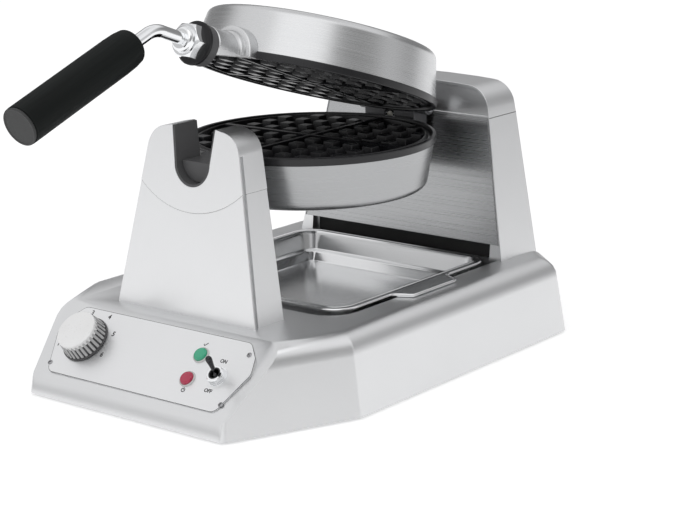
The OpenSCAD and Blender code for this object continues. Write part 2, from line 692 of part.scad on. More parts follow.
tray_middle = tray_front + tray_size/2;
module tray_skin(d) {
    half = tray_size/2 - 7;
    r = tray_corner - 7;
    // inset, height, and rise of the inner skin for each mm of sheet: floor, step and mouth
    loft([for (l = [[13, 0, 1], [10, 1.5, 0.8], [7, 7.5, 0.3], [3, 9, 0.3], [0, tray_depth - tray_sheet, 2]])
        at_height(rounded(rectangle(half - l[0] - d, -half + l[0] + d, half - l[0] - d),
            [for (q = [0:3]) max(3, r - d)]), l[1] + d*l[2])]);
}
module drip_tray() on_bench() translate([0, tray_middle, recess_floor]) color([0.78, 0.79, 0.80]) difference() {
    union() {
        tray_skin(0);
        // rolled rim and the tab that it is lifted by
        translate([0, 0, tray_depth - 2*tray_sheet]) linear_extrude(tray_sheet*2)
            polygon(rounded(rectangle(tray_size/2, -tray_size/2, tray_size/2), [for (q = [0:3]) tray_corner]));
        translate([0, 0, tray_depth - tray_sheet]) linear_extrude(tray_sheet)
            polygon([[tray_size/2 - 2, -tab_half - 12], [tray_size/2 + tab_out, -tab_half],
                [tray_size/2 + tab_out, tab_half], [tray_size/2 - 2, tab_half + 12]]);
    }
    tray_skin(tray_sheet);
    // groove between the rolled rim and the wall
    translate([0, 0, tray_depth - 0.7]) linear_extrude(2) difference() {
        polygon(rounded(rectangle(tray_size/2 - 1.6, -tray_size/2 + 1.6, tray_size/2 - 1.6),
            [for (q = [0:3]) tray_corner - 1.6]));
        polygon(rounded(rectangle(tray_size/2 - 5.5, -tray_size/2 + 5.5, tray_size/2 - 5.5),
            [for (q = [0:3]) tray_corner - 5.5]));
    }
}
tab_half = 26;

// ---------- irons, each drawn with its parting plane at z = 0 and its back at +iron_depth ----------

plate_r = plate_dia/2;
housing_rim_r = plate_r - 1.5;
housing_back_r = housing_back_dia/2;
function arc(c, r, a0, a1, n) = [for (k = [0:n]) let (a = a0 + (a1 - a0)*k/n) c + r*[cos(a), sin(a)]];
lean = atan2(housing_rim_r - housing_back_r, iron_depth - rim_height);
function wall_r(z) = housing_rim_r - (z - rim_height)*tan(lean);
// half outline of a housing, d inside its outer skin, with the fillet tangent to the wall and the back
module housing_half(d)
    polygon(concat([[0, rim_height], [housing_rim_r - d/cos(lean), rim_height]],
        arc([wall_r(iron_depth - housing_fillet) - housing_fillet/cos(lean), iron_depth - housing_fillet],
            housing_fillet - d, lean, 90, 7),
        [[0, iron_depth - d]]));
module housing_skin(d) rotate_extrude($fn = 128) housing_half(d);

module housing() difference() {
    housing_skin(0);
    housing_skin(housing_wall);
    translate([0, 0, rim_height - 1]) cylinder(r = housing_rim_r - housing_wall/cos(lean), h = 1.5, $fn = 128);
}

waffle_r = waffle_dia/2;
plate_web = 4;          // thickness of the plate under its pockets
wall_top = 0.8;         // gap from the inner ring to the parting plane
stud_drop = 0.6;        // gap from the studs to the parting plane
bowl_r = waffle_r + 4;
stud_reach = waffle_r - 2;
stud_count = floor(waffle_r/stud_pitch);
stud_diag = sqrt(2)/2;
first_stud = divider_width/2 + stud_foot/2 + (stud_pitch - stud_foot)/2;

module stud() translate([0, 0, stud_drop]) rotate([0, 0, 45])
    cylinder(r1 = stud_top*stud_diag, r2 = stud_foot*stud_diag, h = pocket_depth - stud_drop + eps, $fn = 4);

module grid_plate() {
    difference() {
        rotate_extrude($fn = 128) polygon([[0, pocket_depth + plate_web], [0, pocket_depth],
            [waffle_r - 3, pocket_depth], [waffle_r, wall_top], [waffle_r + 1.6, wall_top],
            [waffle_r + 3, 3.4], [plate_r - 4, 3.4], [plate_r - 3, seat], [plate_r - 0.6, seat],
            [plate_r, seat + 0.6], [plate_r, rim_height], [bowl_r, rim_height],
            [bowl_r - 1.5, pocket_depth + plate_web]]);
        // pour-over lip at the front, beside the journals
        translate([-12, -plate_r - 5, -1]) cube([24, 12, 2.4]);
    }
    intersection() {
        union() {
            for (sx = [-1, 1], sy = [-1, 1], i = [0:stud_count - 1], j = [0:stud_count - 1]) {
                x = first_stud + stud_pitch*i;
                y = first_stud + stud_pitch*j;
                if (norm([x, y]) < stud_reach - 1) translate([sx*x, sy*y, 0]) stud();
            }
            for (a = [0, 90]) rotate([0, 0, a])
                translate([-waffle_r, -divider_width/2, stud_drop])
                    cube([2*waffle_r, divider_width, pocket_depth - stud_drop + eps]);
        }
        cylinder(r1 = waffle_r + 1 - 0.2, r2 = waffle_r - 2.8, h = pocket_depth + eps, $fn = 128);
    }
}

heater_r = 58;
module heater() difference() {
    rotate_extrude($fn = 96) for (r = [heater_r, heater_r - 26]) translate([r, pocket_depth + plate_web])
        polygon([[-4.5, 0], [4.5, 0], [3.5, 6], [2, 7.5], [-2, 7.5], [-3.5, 6]]);
    // cold ends stay apart at the back
    translate([-8, heater_r - 40, 0]) cube([16, 60, 60]);
}

insulation_start = pocket_depth + plate_web + 8;
module insulation() difference() {
    translate([0, 0, insulation_start])
        cylinder(r = bowl_r - 8, h = iron_depth - housing_wall - insulation_start - 0.4);
    translate([-12, 50, 0]) cube([24, 60, 60]);
}

// the lower iron hangs below the parting plane
module lower_place() on_bench() at_axis() mirror([0, 0, 1]) children();
module upper_place() on_bench() lid_place() children();

module lower_housing() lower_place() color([0.80, 0.81, 0.82]) housing();
module upper_housing() upper_place() color([0.80, 0.81, 0.82]) housing();
module lower_grid_plate() lower_place() color([0.09, 0.09, 0.10]) grid_plate();
module upper_grid_plate() upper_place() color([0.09, 0.09, 0.10]) grid_plate();
module lower_heater() lower_place() color([0.45, 0.43, 0.42]) heater();
module upper_heater() upper_place() color([0.45, 0.43, 0.42]) heater();
module lower_insulation() lower_place() color([0.88, 0.86, 0.80]) insulation();
module upper_insulation() upper_place() color([0.88, 0.86, 0.80]) insulation();

// ---------- journals at the front: half rounds that close to a full round ----------

journal_back = 111;
journal_front = 129.5;
boss_r = 22;
module half_rod(r, y0, y1)
    intersection() {
        rod_y(r, y0, y1);
        translate([-2*r, y0 - 1, seat]) cube([4*r, y1 - y0 + 2, 2*r]);
    }
module journal() difference() {
    union() {
        half_rod(journal_r, -journal_front, -journal_back + 4);
        half_rod(journal_r + 2.1, -journal_back + 4, -103.5);
        half_rod(boss_r, -104, -housing_rim_r + 3);
    }
    // fits round the iron's rim and wall
    translate([0, 0, -1]) cylinder(r = plate_r + 0.3, h = rim_height + 1.3, $fn = 128);
    housing_skin(-fit_gap);
}
fit_gap = 0.05;         // gap between the housings and what is fixed to them

module lower_journal() lower_place() color([0.30, 0.30, 0.31]) journal();
module upper_journal() upper_place() color([0.78, 0.79, 0.80]) journal();

module handle_collar() upper_place() color([0.20, 0.20, 0.21]) difference() {
    union() {
        rod_y(journal_r, -collar_front + 3.3, -journal_front - 0.3);
        rod_y(journal_r + 1.8, -collar_front, -collar_front + 3.3);
    }
    rod_y(rod_dia/2 + eps, -collar_front - 1, -journal_front);
}

module handle_nut() upper_place() color([0.86, 0.87, 0.88]) difference() {
    translate([0, -collar_front - nut_length, 0]) rotate([-90, 0, 0]) intersection() {
        cylinder(r = nut_flats/sqrt(3), h = nut_length, $fn = 6);
        cylinder(r1 = nut_flats/2 - 0.2, r2 = nut_flats/2 + 11, h = nut_length);
    }
    rod_y(rod_dia/2 + eps, -collar_front - nut_length - 1, -collar_front + 1);
}

module handle_rod() upper_place() color([0.88, 0.89, 0.90]) {
    rod_y(rod_dia/2, -collar_front - nut_length - rod_reach, -journal_front - 0.3);
    // bend in the upright plane, then straight into the grip
    translate([0, -collar_front - nut_length - rod_reach, -bend_r]) rotate([90, 0, 90])
        rotate([0, 0, 90]) rotate_extrude(angle = grip_angle, $fn = 96)
            translate([bend_r, 0]) circle(r = rod_dia/2 + 0.05, $fn = 48);
    grip_place(0) translate([0, 0, bend_back]) cylinder(r = rod_dia/2, h = grip_start + 30 - bend_back);
}

// z runs down the grip from the rod's corner
module grip_place(along)
    translate([0, -corner_back, 0]) rotate([90 + grip_angle, 0, 0]) translate([0, 0, along]) children();

module handle_grip() upper_place() grip_place(grip_start) color([0.07, 0.07, 0.07]) difference() {
    rotate_extrude($fn = 96) polygon(concat([[0, 0]],
        arc([grip_dia/2 - 6, 5], 5, -90, -20, 4),
        [[grip_dia/2, 16], [grip_dia/2, grip_length], [0, grip_length]]));
    translate([0, 0, -1]) cylinder(r = rod_dia/2 + eps, h = 31.01);
}
module grip_end_cap() upper_place() grip_place(grip_start + grip_length) color([0.16, 0.16, 0.17])
    rotate_extrude($fn = 96) polygon(concat([[0, 0], [grip_dia/2, 0]],
        arc([grip_dia/2 - grip_edge, cap_length - grip_edge], grip_edge, 0, 90, 5), [[0, cap_length]]));

// ---------- hinge and rear trunnion ----------

ear_inner = knuckle_width/2 + 0.4;
pin_out = ear_inner + ear_width;
module at_hinge() translate([0, hinge_back, hinge_rise]) children();
bracket_y = plate_r + 2.5;
bracket_low = 30;
module hinge_bracket() on_bench() at_axis() color([0.62, 0.63, 0.65]) difference() {
    union() {
        at_hinge() rod_x(knuckle_r, -knuckle_width/2, knuckle_width/2);
        translate([-knuckle_width/2, bracket_y, -bracket_low])
            cube([knuckle_width, hinge_back + knuckle_r - bracket_y, bracket_low + hinge_rise]);
        translate([-knuckle_width/2, housing_back_r - 4, -bracket_low])
            cube([knuckle_width, bracket_y - housing_back_r + 5, 20]);
    }
    at_hinge() rod_x(pin_dia/2 + eps, -knuckle_width, knuckle_width);
    mirror([0, 0, 1]) housing_skin(-fit_gap);
    rod_y(root_r + eps, housing_back_r - 5, hinge_back + knuckle_r + 1);
}
root_r = hinge_rise - pin_dia/2 - 0.6;   // the trunnion's root passes under the hinge pin

module rear_trunnion() on_bench() at_axis() color([0.70, 0.71, 0.73]) difference() {
    union() {
        rod_y(root_r, bracket_y + 1, hinge_back + knuckle_r);
        rod_y(trunnion_dia/2, hinge_back + knuckle_r, block_y + block_thick + 3);
        rod_y(trunnion_dia/2 + 3, hinge_back + knuckle_r, hinge_back + knuckle_r + 2);
    }
    rod_y(lead_bore/2, bracket_y, block_y + block_thick + 4);
}

module trunnion_lead_sleeve() on_bench() at_axis() color([0.90, 0.88, 0.82])
    rod_y(lead_bore/2 - 0.3, bracket_y + 1, block_y + block_thick + 6);

module hinge_pin() on_bench() at_axis() at_hinge() color([0.86, 0.87, 0.88]) {
    rod_x(pin_dia/2, -pin_out - 0.5, pin_out + 0.5);
    both_sides() translate([pin_out + 0.5, 0, 0]) rotate([0, 90, 0]) {
        cylinder(r = knuckle_r - 2, h = 1.5);
        translate([0, 0, 1.5]) cylinder(r1 = knuckle_r - 2, r2 = knuckle_r - 4.5, h = 2);
    }
}

module lid_hinge_ears() upper_place() color([0.62, 0.63, 0.65]) both_sides() difference() {
    union() {
        at_hinge() rod_x(knuckle_r, ear_inner, ear_inner + ear_width);
        translate([ear_inner, housing_back_r - 12, hinge_rise - 2])
            cube([ear_width, hinge_back - housing_back_r + 12, knuckle_r + 2]);
    }
    at_hinge() rod_x(pin_dia/2 + run_gap, ear_inner - 1, ear_inner + ear_width + 1);
    housing_skin(-fit_gap);
}

base_housing();
base_bottom_plate();
base_feet();
bottom_plate_screws();
control_panel();
panel_screws();
thermostat_body();
switch_body();
switch_nut();
ready_lamp();
power_lamp();
cable_gland();
terminal_block();
front_tower();
front_tower_cap();
notch_liner();
rear_tower();
rear_tower_sheet();
rear_tower_cap();
rear_bearing_block();
rear_bearing_bush();
control_knob();
switch_lever();
drip_tray();
lower_housing();
lower_grid_plate();
lower_heater();
lower_insulation();
lower_journal();
hinge_bracket();
rear_trunnion();
trunnion_lead_sleeve();
hinge_pin();
upper_housing();
upper_grid_plate();
upper_heater();
upper_insulation();
lid_hinge_ears();
upper_journal();
handle_collar();
handle_nut();
handle_rod();
handle_grip();
grip_end_cap();
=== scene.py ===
"""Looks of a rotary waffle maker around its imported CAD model.

Finishes, finer forms, lettering, light and camera. Lengths are millimetres in the part's own frame, whose
origin lies on the bench under the centre of the irons, until a place matrix carries them into the row frame
in metres.
"""
import json
import math

import bmesh
import bpy
from mathutils import Matrix, Vector

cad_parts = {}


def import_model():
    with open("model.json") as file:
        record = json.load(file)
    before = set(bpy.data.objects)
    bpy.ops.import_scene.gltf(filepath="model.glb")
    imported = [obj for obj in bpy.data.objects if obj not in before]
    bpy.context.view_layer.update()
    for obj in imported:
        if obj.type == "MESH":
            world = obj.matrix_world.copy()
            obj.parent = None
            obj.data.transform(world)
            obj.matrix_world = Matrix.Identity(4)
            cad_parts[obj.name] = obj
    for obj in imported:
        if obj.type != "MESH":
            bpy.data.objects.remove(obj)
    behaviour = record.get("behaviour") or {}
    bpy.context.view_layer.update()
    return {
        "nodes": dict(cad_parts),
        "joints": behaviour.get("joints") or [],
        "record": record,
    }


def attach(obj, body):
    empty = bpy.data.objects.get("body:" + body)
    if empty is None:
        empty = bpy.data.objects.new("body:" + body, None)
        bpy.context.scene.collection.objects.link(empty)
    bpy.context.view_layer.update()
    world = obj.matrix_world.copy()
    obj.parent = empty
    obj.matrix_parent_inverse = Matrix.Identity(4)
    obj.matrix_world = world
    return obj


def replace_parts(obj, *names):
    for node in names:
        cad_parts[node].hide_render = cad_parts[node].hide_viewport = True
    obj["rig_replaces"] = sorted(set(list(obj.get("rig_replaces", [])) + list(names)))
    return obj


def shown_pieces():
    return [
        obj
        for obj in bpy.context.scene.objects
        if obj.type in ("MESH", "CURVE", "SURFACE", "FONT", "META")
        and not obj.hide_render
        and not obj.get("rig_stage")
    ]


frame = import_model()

# ---------- the part's frames ----------

MM = 0.001


def joint(name):
    return next(j for j in frame["joints"] if j["name"] == name)


CENTRE = Vector(joint("iron_turn")["pos_m"])
HINGE = Vector(joint("lid_hinge")["pos_m"])
LID_ANGLE = math.radians(-joint("lid_hinge")["range_deg"][0])
SCALE = Matrix.Scale(MM, 4)
BENCH = Matrix.Translation((CENTRE.x, CENTRE.y, 0)) @ SCALE
# z = 0 is the parting plane, and z runs into the iron, down for the lower one
LOWER = Matrix.Translation(CENTRE) @ Matrix.Scale(-1, 4, (0, 0, 1)) @ SCALE
LID_TURN = Matrix.Translation(HINGE) @ Matrix.Rotation(-LID_ANGLE, 4, "X")
UPPER = LID_TURN @ Matrix.Translation(CENTRE - HINGE) @ SCALE
# z runs forward along the turning axis
BUSH = BENCH @ Matrix.Rotation(math.pi / 2, 4, "X")

FRONT_REACH = 219
FRONT_DRAFT = 1.4
FRONT_EDGE = 13.5
RIDGE_REACH = 164.5
BASE_HEIGHT = 62
SLOPE = math.atan2(BASE_HEIGHT - FRONT_EDGE, FRONT_REACH - FRONT_DRAFT - RIDGE_REACH)
# x across the control panel, y up the slope, z out of it
PANEL_FOOT = (0, -FRONT_REACH + FRONT_DRAFT, FRONT_EDGE)
PANEL = BENCH @ Matrix.Translation(PANEL_FOOT) @ Matrix.Rotation(SLOPE, 4, "X")
PANEL_THICK = 1.0
SLOPE_LENGTH = math.hypot(BASE_HEIGHT - FRONT_EDGE, FRONT_REACH - FRONT_DRAFT - RIDGE_REACH)
KNOB = (-65.5, 40.0)
SWITCH = (70.5, 35.5)
LAMP_X = 46.0
LAMPS = {"ready": 49.0, "power": 28.5}

AXIS = 173.7
FRONT_SEAM_R = 77
SLOT_LIP, SLOT = 1.2, 3.0
SIDE_STEP = 0.6
REAR_SEAM = AXIS + 0.8


def front_half(z):
    return 69.4 - 0.1926 * (z - BASE_HEIGHT)


def front_y(z):
    return -149.6 + 0.1273 * (z - BASE_HEIGHT)


def front_in_y(z):
    return -116.7 + 0.0669 * (z - BASE_HEIGHT)


def rear_half(z):
    return 104.75 - 0.187 * (z - BASE_HEIGHT)


def rear_in_y(z):
    return 109.3 + 0.125 * (z - BASE_HEIGHT)


def rear_out_y(z):
    return 159.4 + 0.023 * (z - BASE_HEIGHT)


FRONT_SEAM_END = AXIS - 16.7
FRONT_SEAM_CENTRE = FRONT_SEAM_END + math.sqrt(FRONT_SEAM_R ** 2 - (front_half(FRONT_SEAM_END) - 1) ** 2) - 1


def front_seam(x):
    """Height of the front cap's seam at x."""
    return FRONT_SEAM_CENTRE - math.sqrt(FRONT_SEAM_R ** 2 - x * x)


COLLAR_FRONT = 141.5
NUT_LENGTH = 9.5
ROD_REACH = 24
BEND_R = 22
GRIP_ANGLE = math.radians(41)
GRIP_START = 24
GRIP_LENGTH = 114
GRIP_R = 14.5
CORNER_BACK = COLLAR_FRONT + NUT_LENGTH + ROD_REACH + BEND_R * math.tan(GRIP_ANGLE / 2)
# z runs down the grip from the rod's corner
GRIP = UPPER @ Matrix.Translation((0, -CORNER_BACK, 0)) @ Matrix.Rotation(math.pi / 2 + GRIP_ANGLE, 4, "X")

# ---------- node helpers for materials ----------


class Finish:
    """A procedural material: a Principled shader with a few helpers that wire texture nodes into it."""

    def __init__(self, name, color, metallic=0.0, roughness=0.5, **sockets):
        self.material = bpy.data.materials.new(name)
        self.material.use_nodes = True
        self.nodes = self.material.node_tree.nodes
        self.links = self.material.node_tree.links
        self.shader = self.nodes["Principled BSDF"]
        self.color = color
        self.roughness = roughness
        self.shader.inputs["Base Color"].default_value = (*color, 1)
        self.shader.inputs["Metallic"].default_value = metallic
        self.shader.inputs["Roughness"].default_value = roughness
        for key, value in sockets.items():
            self.shader.inputs[key.replace("_", " ")].default_value = value
        self.height = None

    def node(self, kind, **values):
        made = self.nodes.new(kind)
        for key, value in values.items():
            if key in made.inputs:
                made.inputs[key].default_value = value
            else:
                setattr(made, key, value)
        return made

    def link(self, source, target):
        self.links.new(source, target)
        return target.node

    def math(self, operation, a, b=0.0):
        made = self.node("ShaderNodeMath", operation=operation)
        for socket, value in zip(made.inputs, (a, b)):
            if isinstance(value, (int, float)):
                socket.default_value = value
            else:
                self.link(value, socket)
        return made.outputs[0]

    def coordinates(self, place=None):
        """Object coordinates in metres, or carried back into the frame that place builds in."""
        source = self.node("ShaderNodeTexCoord").outputs["Object"]
        if place is None:
            return source
        back = (place @ SCALE.inverted()).inverted()
        split = self.link(source, self.node("ShaderNodeSeparateXYZ").inputs[0])
        rows = []
        for row in range(3):
            total = back[row][3]
            for axis in range(3):
                total = self.math("ADD", self.math("MULTIPLY", split.outputs[axis], back[row][axis]), total)
            rows.append(total)
        return self.combine(*rows)

    def mean(self, a, b):
        return self.math("ADD", self.math("MULTIPLY", a, 0.5), self.math("MULTIPLY", b, 0.5))

    def combine(self, x, y, z):
        made = self.node("ShaderNodeCombineXYZ")
        for socket, value in zip(made.inputs, (x, y, z)):
            if isinstance(value, (int, float)):
                socket.default_value = value
            else:
                self.link(value, socket)
        return made.outputs[0]

    def stretched(self, source, scale):
        made = self.node("ShaderNodeMapping")
        self.link(source, made.inputs["Vector"])
        made.inputs["Scale"].default_value = scale
        return made.outputs[0]

    def noise(self, source, scale=1.0, detail=3.0, rough=0.55):
        made = self.node("ShaderNodeTexNoise", Scale=scale, Detail=detail, Roughness=rough)
        self.link(source, made.inputs["Vector"])
        return made.outputs["Fac"]

    def spread(self, value, low, high, start=0.3, end=0.7):
        made = self.node("ShaderNodeMapRange")
        self.link(value, made.inputs["Value"])
        for key, number in (("From Min", start), ("From Max", end), ("To Min", low), ("To Max", high)):
            made.inputs[key].default_value = number
        return made.outputs[0]

    def tint(self, value, dark=0.94, light=1.05):
        """Base colour that value carries from dark to light."""
        made = self.node("ShaderNodeMix", data_type="RGBA")
        self.link(value, made.inputs["Factor"])
        made.inputs[6].default_value = (*[c * dark for c in self.color], 1)
        made.inputs[7].default_value = (*[min(1, c * light) for c in self.color], 1)
        self.link(made.outputs[2], self.shader.inputs["Base Color"])
        return self

    def rough(self, value, reach):
        varied = self.spread(value, self.roughness - reach, self.roughness + reach)
        self.link(varied, self.shader.inputs["Roughness"])
        return self

    def bump(self, value, distance, strength=1.0):
        made = self.node("ShaderNodeBump", Strength=strength, Distance=distance)
        self.link(value, made.inputs["Height"])
        if self.height is not None:
            self.link(self.height, made.inputs["Normal"])
        self.height = made.outputs[0]
        self.link(self.height, self.shader.inputs["Normal"])
        return self


def brushed(name, color, roughness, streaks, place=None, reach=0.05, depth=0.00001):
    """Metal with fine streaks; streaks is the noise scale along each axis, in cycles per metre."""
    made = Finish(name, color, 1.0, roughness)
    source = made.coordinates(place)
    fine = made.noise(made.stretched(source, streaks), 1.0, 4.0, 0.65)
    broad = made.noise(source, 14.0, 3.0)
    made.tint(made.mean(fine, broad), 0.95, 1.04)
    return made.rough(fine, reach).bump(fine, depth)


RINGS_PER_METRE = 1600.0


def turned(name, color, roughness, place, reach=0.06, depth=0.00001):
    """Metal brushed in rings round the z axis of place."""
    made = Finish(name, color, 1.0, roughness)
    split = made.link(made.coordinates(place), made.node("ShaderNodeSeparateXYZ").inputs[0])
    x, y, z = split.outputs
    radius = made.math("SQRT", made.math("ADD", made.math("MULTIPLY", x, x), made.math("MULTIPLY", y, y)))
    angle = made.math("ARCTAN2", y, x)
    rings = made.combine(made.math("MULTIPLY", radius, RINGS_PER_METRE),
                         made.math("MULTIPLY", made.math("COSINE", angle), 2.0),
                         made.math("MULTIPLY", z, RINGS_PER_METRE))
    fine = made.noise(rings, 1.0, 4.0, 0.65)
    broad = made.noise(made.coordinates(), 12.0, 2.0)
    made.tint(made.mean(fine, broad), 0.95, 1.04)
    return made.rough(fine, reach).bump(fine, depth)


def moulded(name, color, roughness, grain=900.0, depth=0.00004, **sockets):
    """Plastic or rubber with a fine moulded grain."""
    made = Finish(name, color, 0.0, roughness, **sockets)
    source = made.coordinates()
    fine = made.noise(source, grain, 2.0)
    made.tint(made.noise(source, 30.0, 2.0), 0.9, 1.1)
    return made.rough(fine, 0.06).bump(fine, depth)


def cast(name, color, roughness):
    """Cast metal with a slightly lumpy, grainy skin."""
    made = Finish(name, color, 1.0, roughness)
    source = made.coordinates()
    grain = made.noise(source, 1300.0, 3.0)
    made.tint(made.noise(source, 45.0, 3.0), 0.9, 1.06)
    return made.rough(grain, 0.05).bump(made.noise(source, 160.0, 2.0), 0.00006).bump(grain, 0.00002)


def wood_grain(name, color, roughness, place):
    """Dark phenolic with fine streaks along the z axis of place."""
    made = Finish(name, color, 0.0, roughness, Specular_IOR_Level=0.16)
    source = made.coordinates(place)
    streaks = made.noise(made.stretched(source, (1300.0, 1300.0, 22.0)), 1.0, 4.0, 0.65)
    broad = made.noise(made.stretched(source, (160.0, 160.0, 14.0)), 1.0, 3.0)
    made.tint(broad, 0.6, 1.7)
    return made.rough(streaks, 0.08).bump(streaks, 0.00006)


def polished(name, color, roughness=0.09):
    made = Finish(name, color, 1.0, roughness)
    smudge = made.noise(made.coordinates(), 60.0, 3.0)
    made.tint(smudge, 0.96, 1.03)
    return made.rough(smudge, 0.04)


def nonstick():
    made = Finish("nonstick_coating", (0.009, 0.009, 0.0105), 0.0, 0.3, Specular_IOR_Level=0.5)
    source = made.coordinates()
    speckle = made.noise(source, 2600.0, 2.0)
    made.tint(made.noise(source, 40.0, 3.0), 0.7, 1.5)
    return made.rough(speckle, 0.05).bump(speckle, 0.000004)


def lens(name, color):
    made = Finish(name, color, 0.0, 0.18, Coat_Weight=0.5, Coat_Roughness=0.08)
    ripple = made.noise(made.coordinates(), 700.0, 1.0)
    made.tint(made.noise(made.coordinates(), 120.0, 2.0), 0.85, 1.15)
    return made.rough(ripple, 0.03).bump(ripple, 0.00002)


SILVER = (0.80, 0.805, 0.81)
LID_SILVER = (0.64, 0.645, 0.65)
# the lower iron's silver is a darker copy of the lid's: painted shade of the iron under the lid
LOWER_SILVER_PAINTED_SHADE = (0.42, 0.425, 0.43)
ACROSS = (9.0, 1100.0, 1100.0)
UPRIGHT = (1100.0, 1100.0, 9.0)
ALONG = (1100.0, 9.0, 1100.0)
FINISHES = {
    "satin_casting": brushed("satin_casting", (0.79, 0.795, 0.80), 0.36, ACROSS),
    "tower_casting": brushed("tower_casting", SILVER, 0.34, UPRIGHT),
    "brushed_sheet": brushed("brushed_sheet", (0.45, 0.455, 0.46), 0.26, (4.0, 700.0, 700.0), depth=0.000004),
    "panel_plate": brushed("panel_plate", (0.87, 0.875, 0.88), 0.4, ACROSS, reach=0.04),
    "plated_screw": polished("plated_screw", (0.35, 0.35, 0.36), 0.3),
    "chrome": polished("chrome", (0.86, 0.87, 0.88), 0.07),
    # chrome of the switch lever, coloured near black: a painted dark reflection, not the metal's own tone
    "painted_dark_reflection_chrome": polished("painted_dark_reflection_chrome", (0.05, 0.05, 0.053), 0.14),
    "dark_bearing": moulded("dark_bearing", (0.10, 0.10, 0.102), 0.5, 700.0, Specular_IOR_Level=0.3),
    "black_ring": moulded("black_ring", (0.008, 0.008, 0.009), 0.35, 700.0, Specular_IOR_Level=0.3),
    "black_grip": wood_grain("black_grip", (0.0045, 0.006, 0.0056), 0.62, GRIP),
    "grip_disc": moulded("grip_disc", (0.035, 0.036, 0.036), 0.55, 1200.0, 0.00006),
    "rubber_foot": moulded("rubber_foot", (0.02, 0.02, 0.02), 0.75),
    "white_knob": moulded("white_knob", (0.93, 0.93, 0.92), 0.32, 500.0, 0.000004),
    # near-black core of the knob between its ribs: painted shade of the grooves
    "painted_shade_knob_groove": moulded("painted_shade_knob_groove", (0.06, 0.06, 0.062), 0.4, 500.0, 0.00001),
    "knob_rib": moulded("knob_rib", (0.5, 0.5, 0.5), 0.3, 500.0, 0.00001),
    "green_lens": lens("green_lens", (0.03, 0.40, 0.22)),
    "red_lens": lens("red_lens", (0.45, 0.012, 0.06)),
    "lamp_bezel": moulded("lamp_bezel", (0.62, 0.62, 0.61), 0.3, 500.0, 0.00001),
    "bottom_sheet": brushed("bottom_sheet", (0.5, 0.51, 0.52), 0.4, ALONG),
    "cast_bracket": cast("cast_bracket", (0.16, 0.16, 0.165), 0.42),
    "bronze_bush": turned("bronze_bush", (0.5, 0.3, 0.12), 0.35, BUSH),
    "ceramic": moulded("ceramic", (0.62, 0.6, 0.54), 0.6),
    "switch_black": moulded("switch_black", (0.02, 0.02, 0.022), 0.35),
    "heater_tube": cast("heater_tube", (0.2, 0.18, 0.17), 0.5),
    "wool_board": moulded("wool_board", (0.6, 0.58, 0.52), 0.9, 300.0, 0.0003),
    "tray_steel": brushed("tray_steel", (0.78, 0.785, 0.79), 0.2, ACROSS, reach=0.04, depth=0.000003),
    "journal_casting": cast("journal_casting", (0.66, 0.665, 0.67), 0.3),
    "nonstick": nonstick(),
    "ink": moulded("ink", (0.015, 0.015, 0.016), 0.5),
    "lower_housing": turned("lower_housing", LOWER_SILVER_PAINTED_SHADE, 0.3, LOWER),
    "upper_housing": turned("upper_housing", LID_SILVER, 0.28, UPPER),
}
OWN_FINISH = {
    "front_tower": "tower_casting", "front_tower_cap": "tower_casting", "rear_tower": "tower_casting",
    "lower_housing": "lower_housing", "upper_housing": "upper_housing",
}
SLOT_OF = {row["node"]: row["material_slot"] for row in frame["record"]["subparts"]}
BODY_OF = {node: body for body, nodes in frame["record"]["behaviour"]["bodies"].items() for node in nodes}

# ---------- mesh helpers ----------

BEVEL_SEGMENTS = 3
BEVEL_ANGLE = math.radians(28)
SHADE_ANGLE = math.radians(40)


def dressed(obj, node, finish=None):
    """Gives obj the finish of a CAD node, or the named one."""
    obj.data.materials.clear()
    obj.data.materials.append(FINISHES[finish or OWN_FINISH.get(node, SLOT_OF[node])].material)


def finished(obj, node, finish=None):
    """Gives obj the body and finish of a CAD node."""
    dressed(obj, node, finish)
    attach(obj, BODY_OF[node])
    return obj


def mesh_object(name, verts, faces, place=BENCH):
    mesh = bpy.data.meshes.new(name)
    mesh.from_pydata([place @ Vector(v) for v in verts], [], faces)
    made = bmesh.new()
    made.from_mesh(mesh)
    bmesh.ops.recalc_face_normals(made, faces=made.faces)
    made.to_mesh(mesh)
    made.free()
    obj = bpy.data.objects.new(name, mesh)
    bpy.context.scene.collection.objects.link(obj)
    return obj


def applied(obj):
    """Applies the modifiers of obj to its mesh."""
    evaluated = obj.evaluated_get(bpy.context.evaluated_depsgraph_get())
    mesh = bpy.data.meshes.new_from_object(evaluated)
    obj.modifiers.clear()
    obj.data = mesh
    return obj


def softened(obj, width=0, by_weight=False):
    """Rounds the hard edges of obj by width mm, and shades it smooth."""
    if width:
        bevel = obj.modifiers.new("edges", "BEVEL")
        bevel.width = width * MM
        bevel.segments = BEVEL_SEGMENTS
        bevel.limit_method = "WEIGHT" if by_weight else "ANGLE"
        bevel.use_clamp_overlap = not by_weight
        bevel.angle_limit = BEVEL_ANGLE
        bevel.miter_outer = "MITER_ARC"
    applied(obj)
    obj.data.shade_smooth()
    obj.data.set_sharp_from_angle(angle=SHADE_ANGLE)
    normals = obj.modifiers.new("normals", "WEIGHTED_NORMAL")
    normals.keep_sharp = True
    return applied(obj)


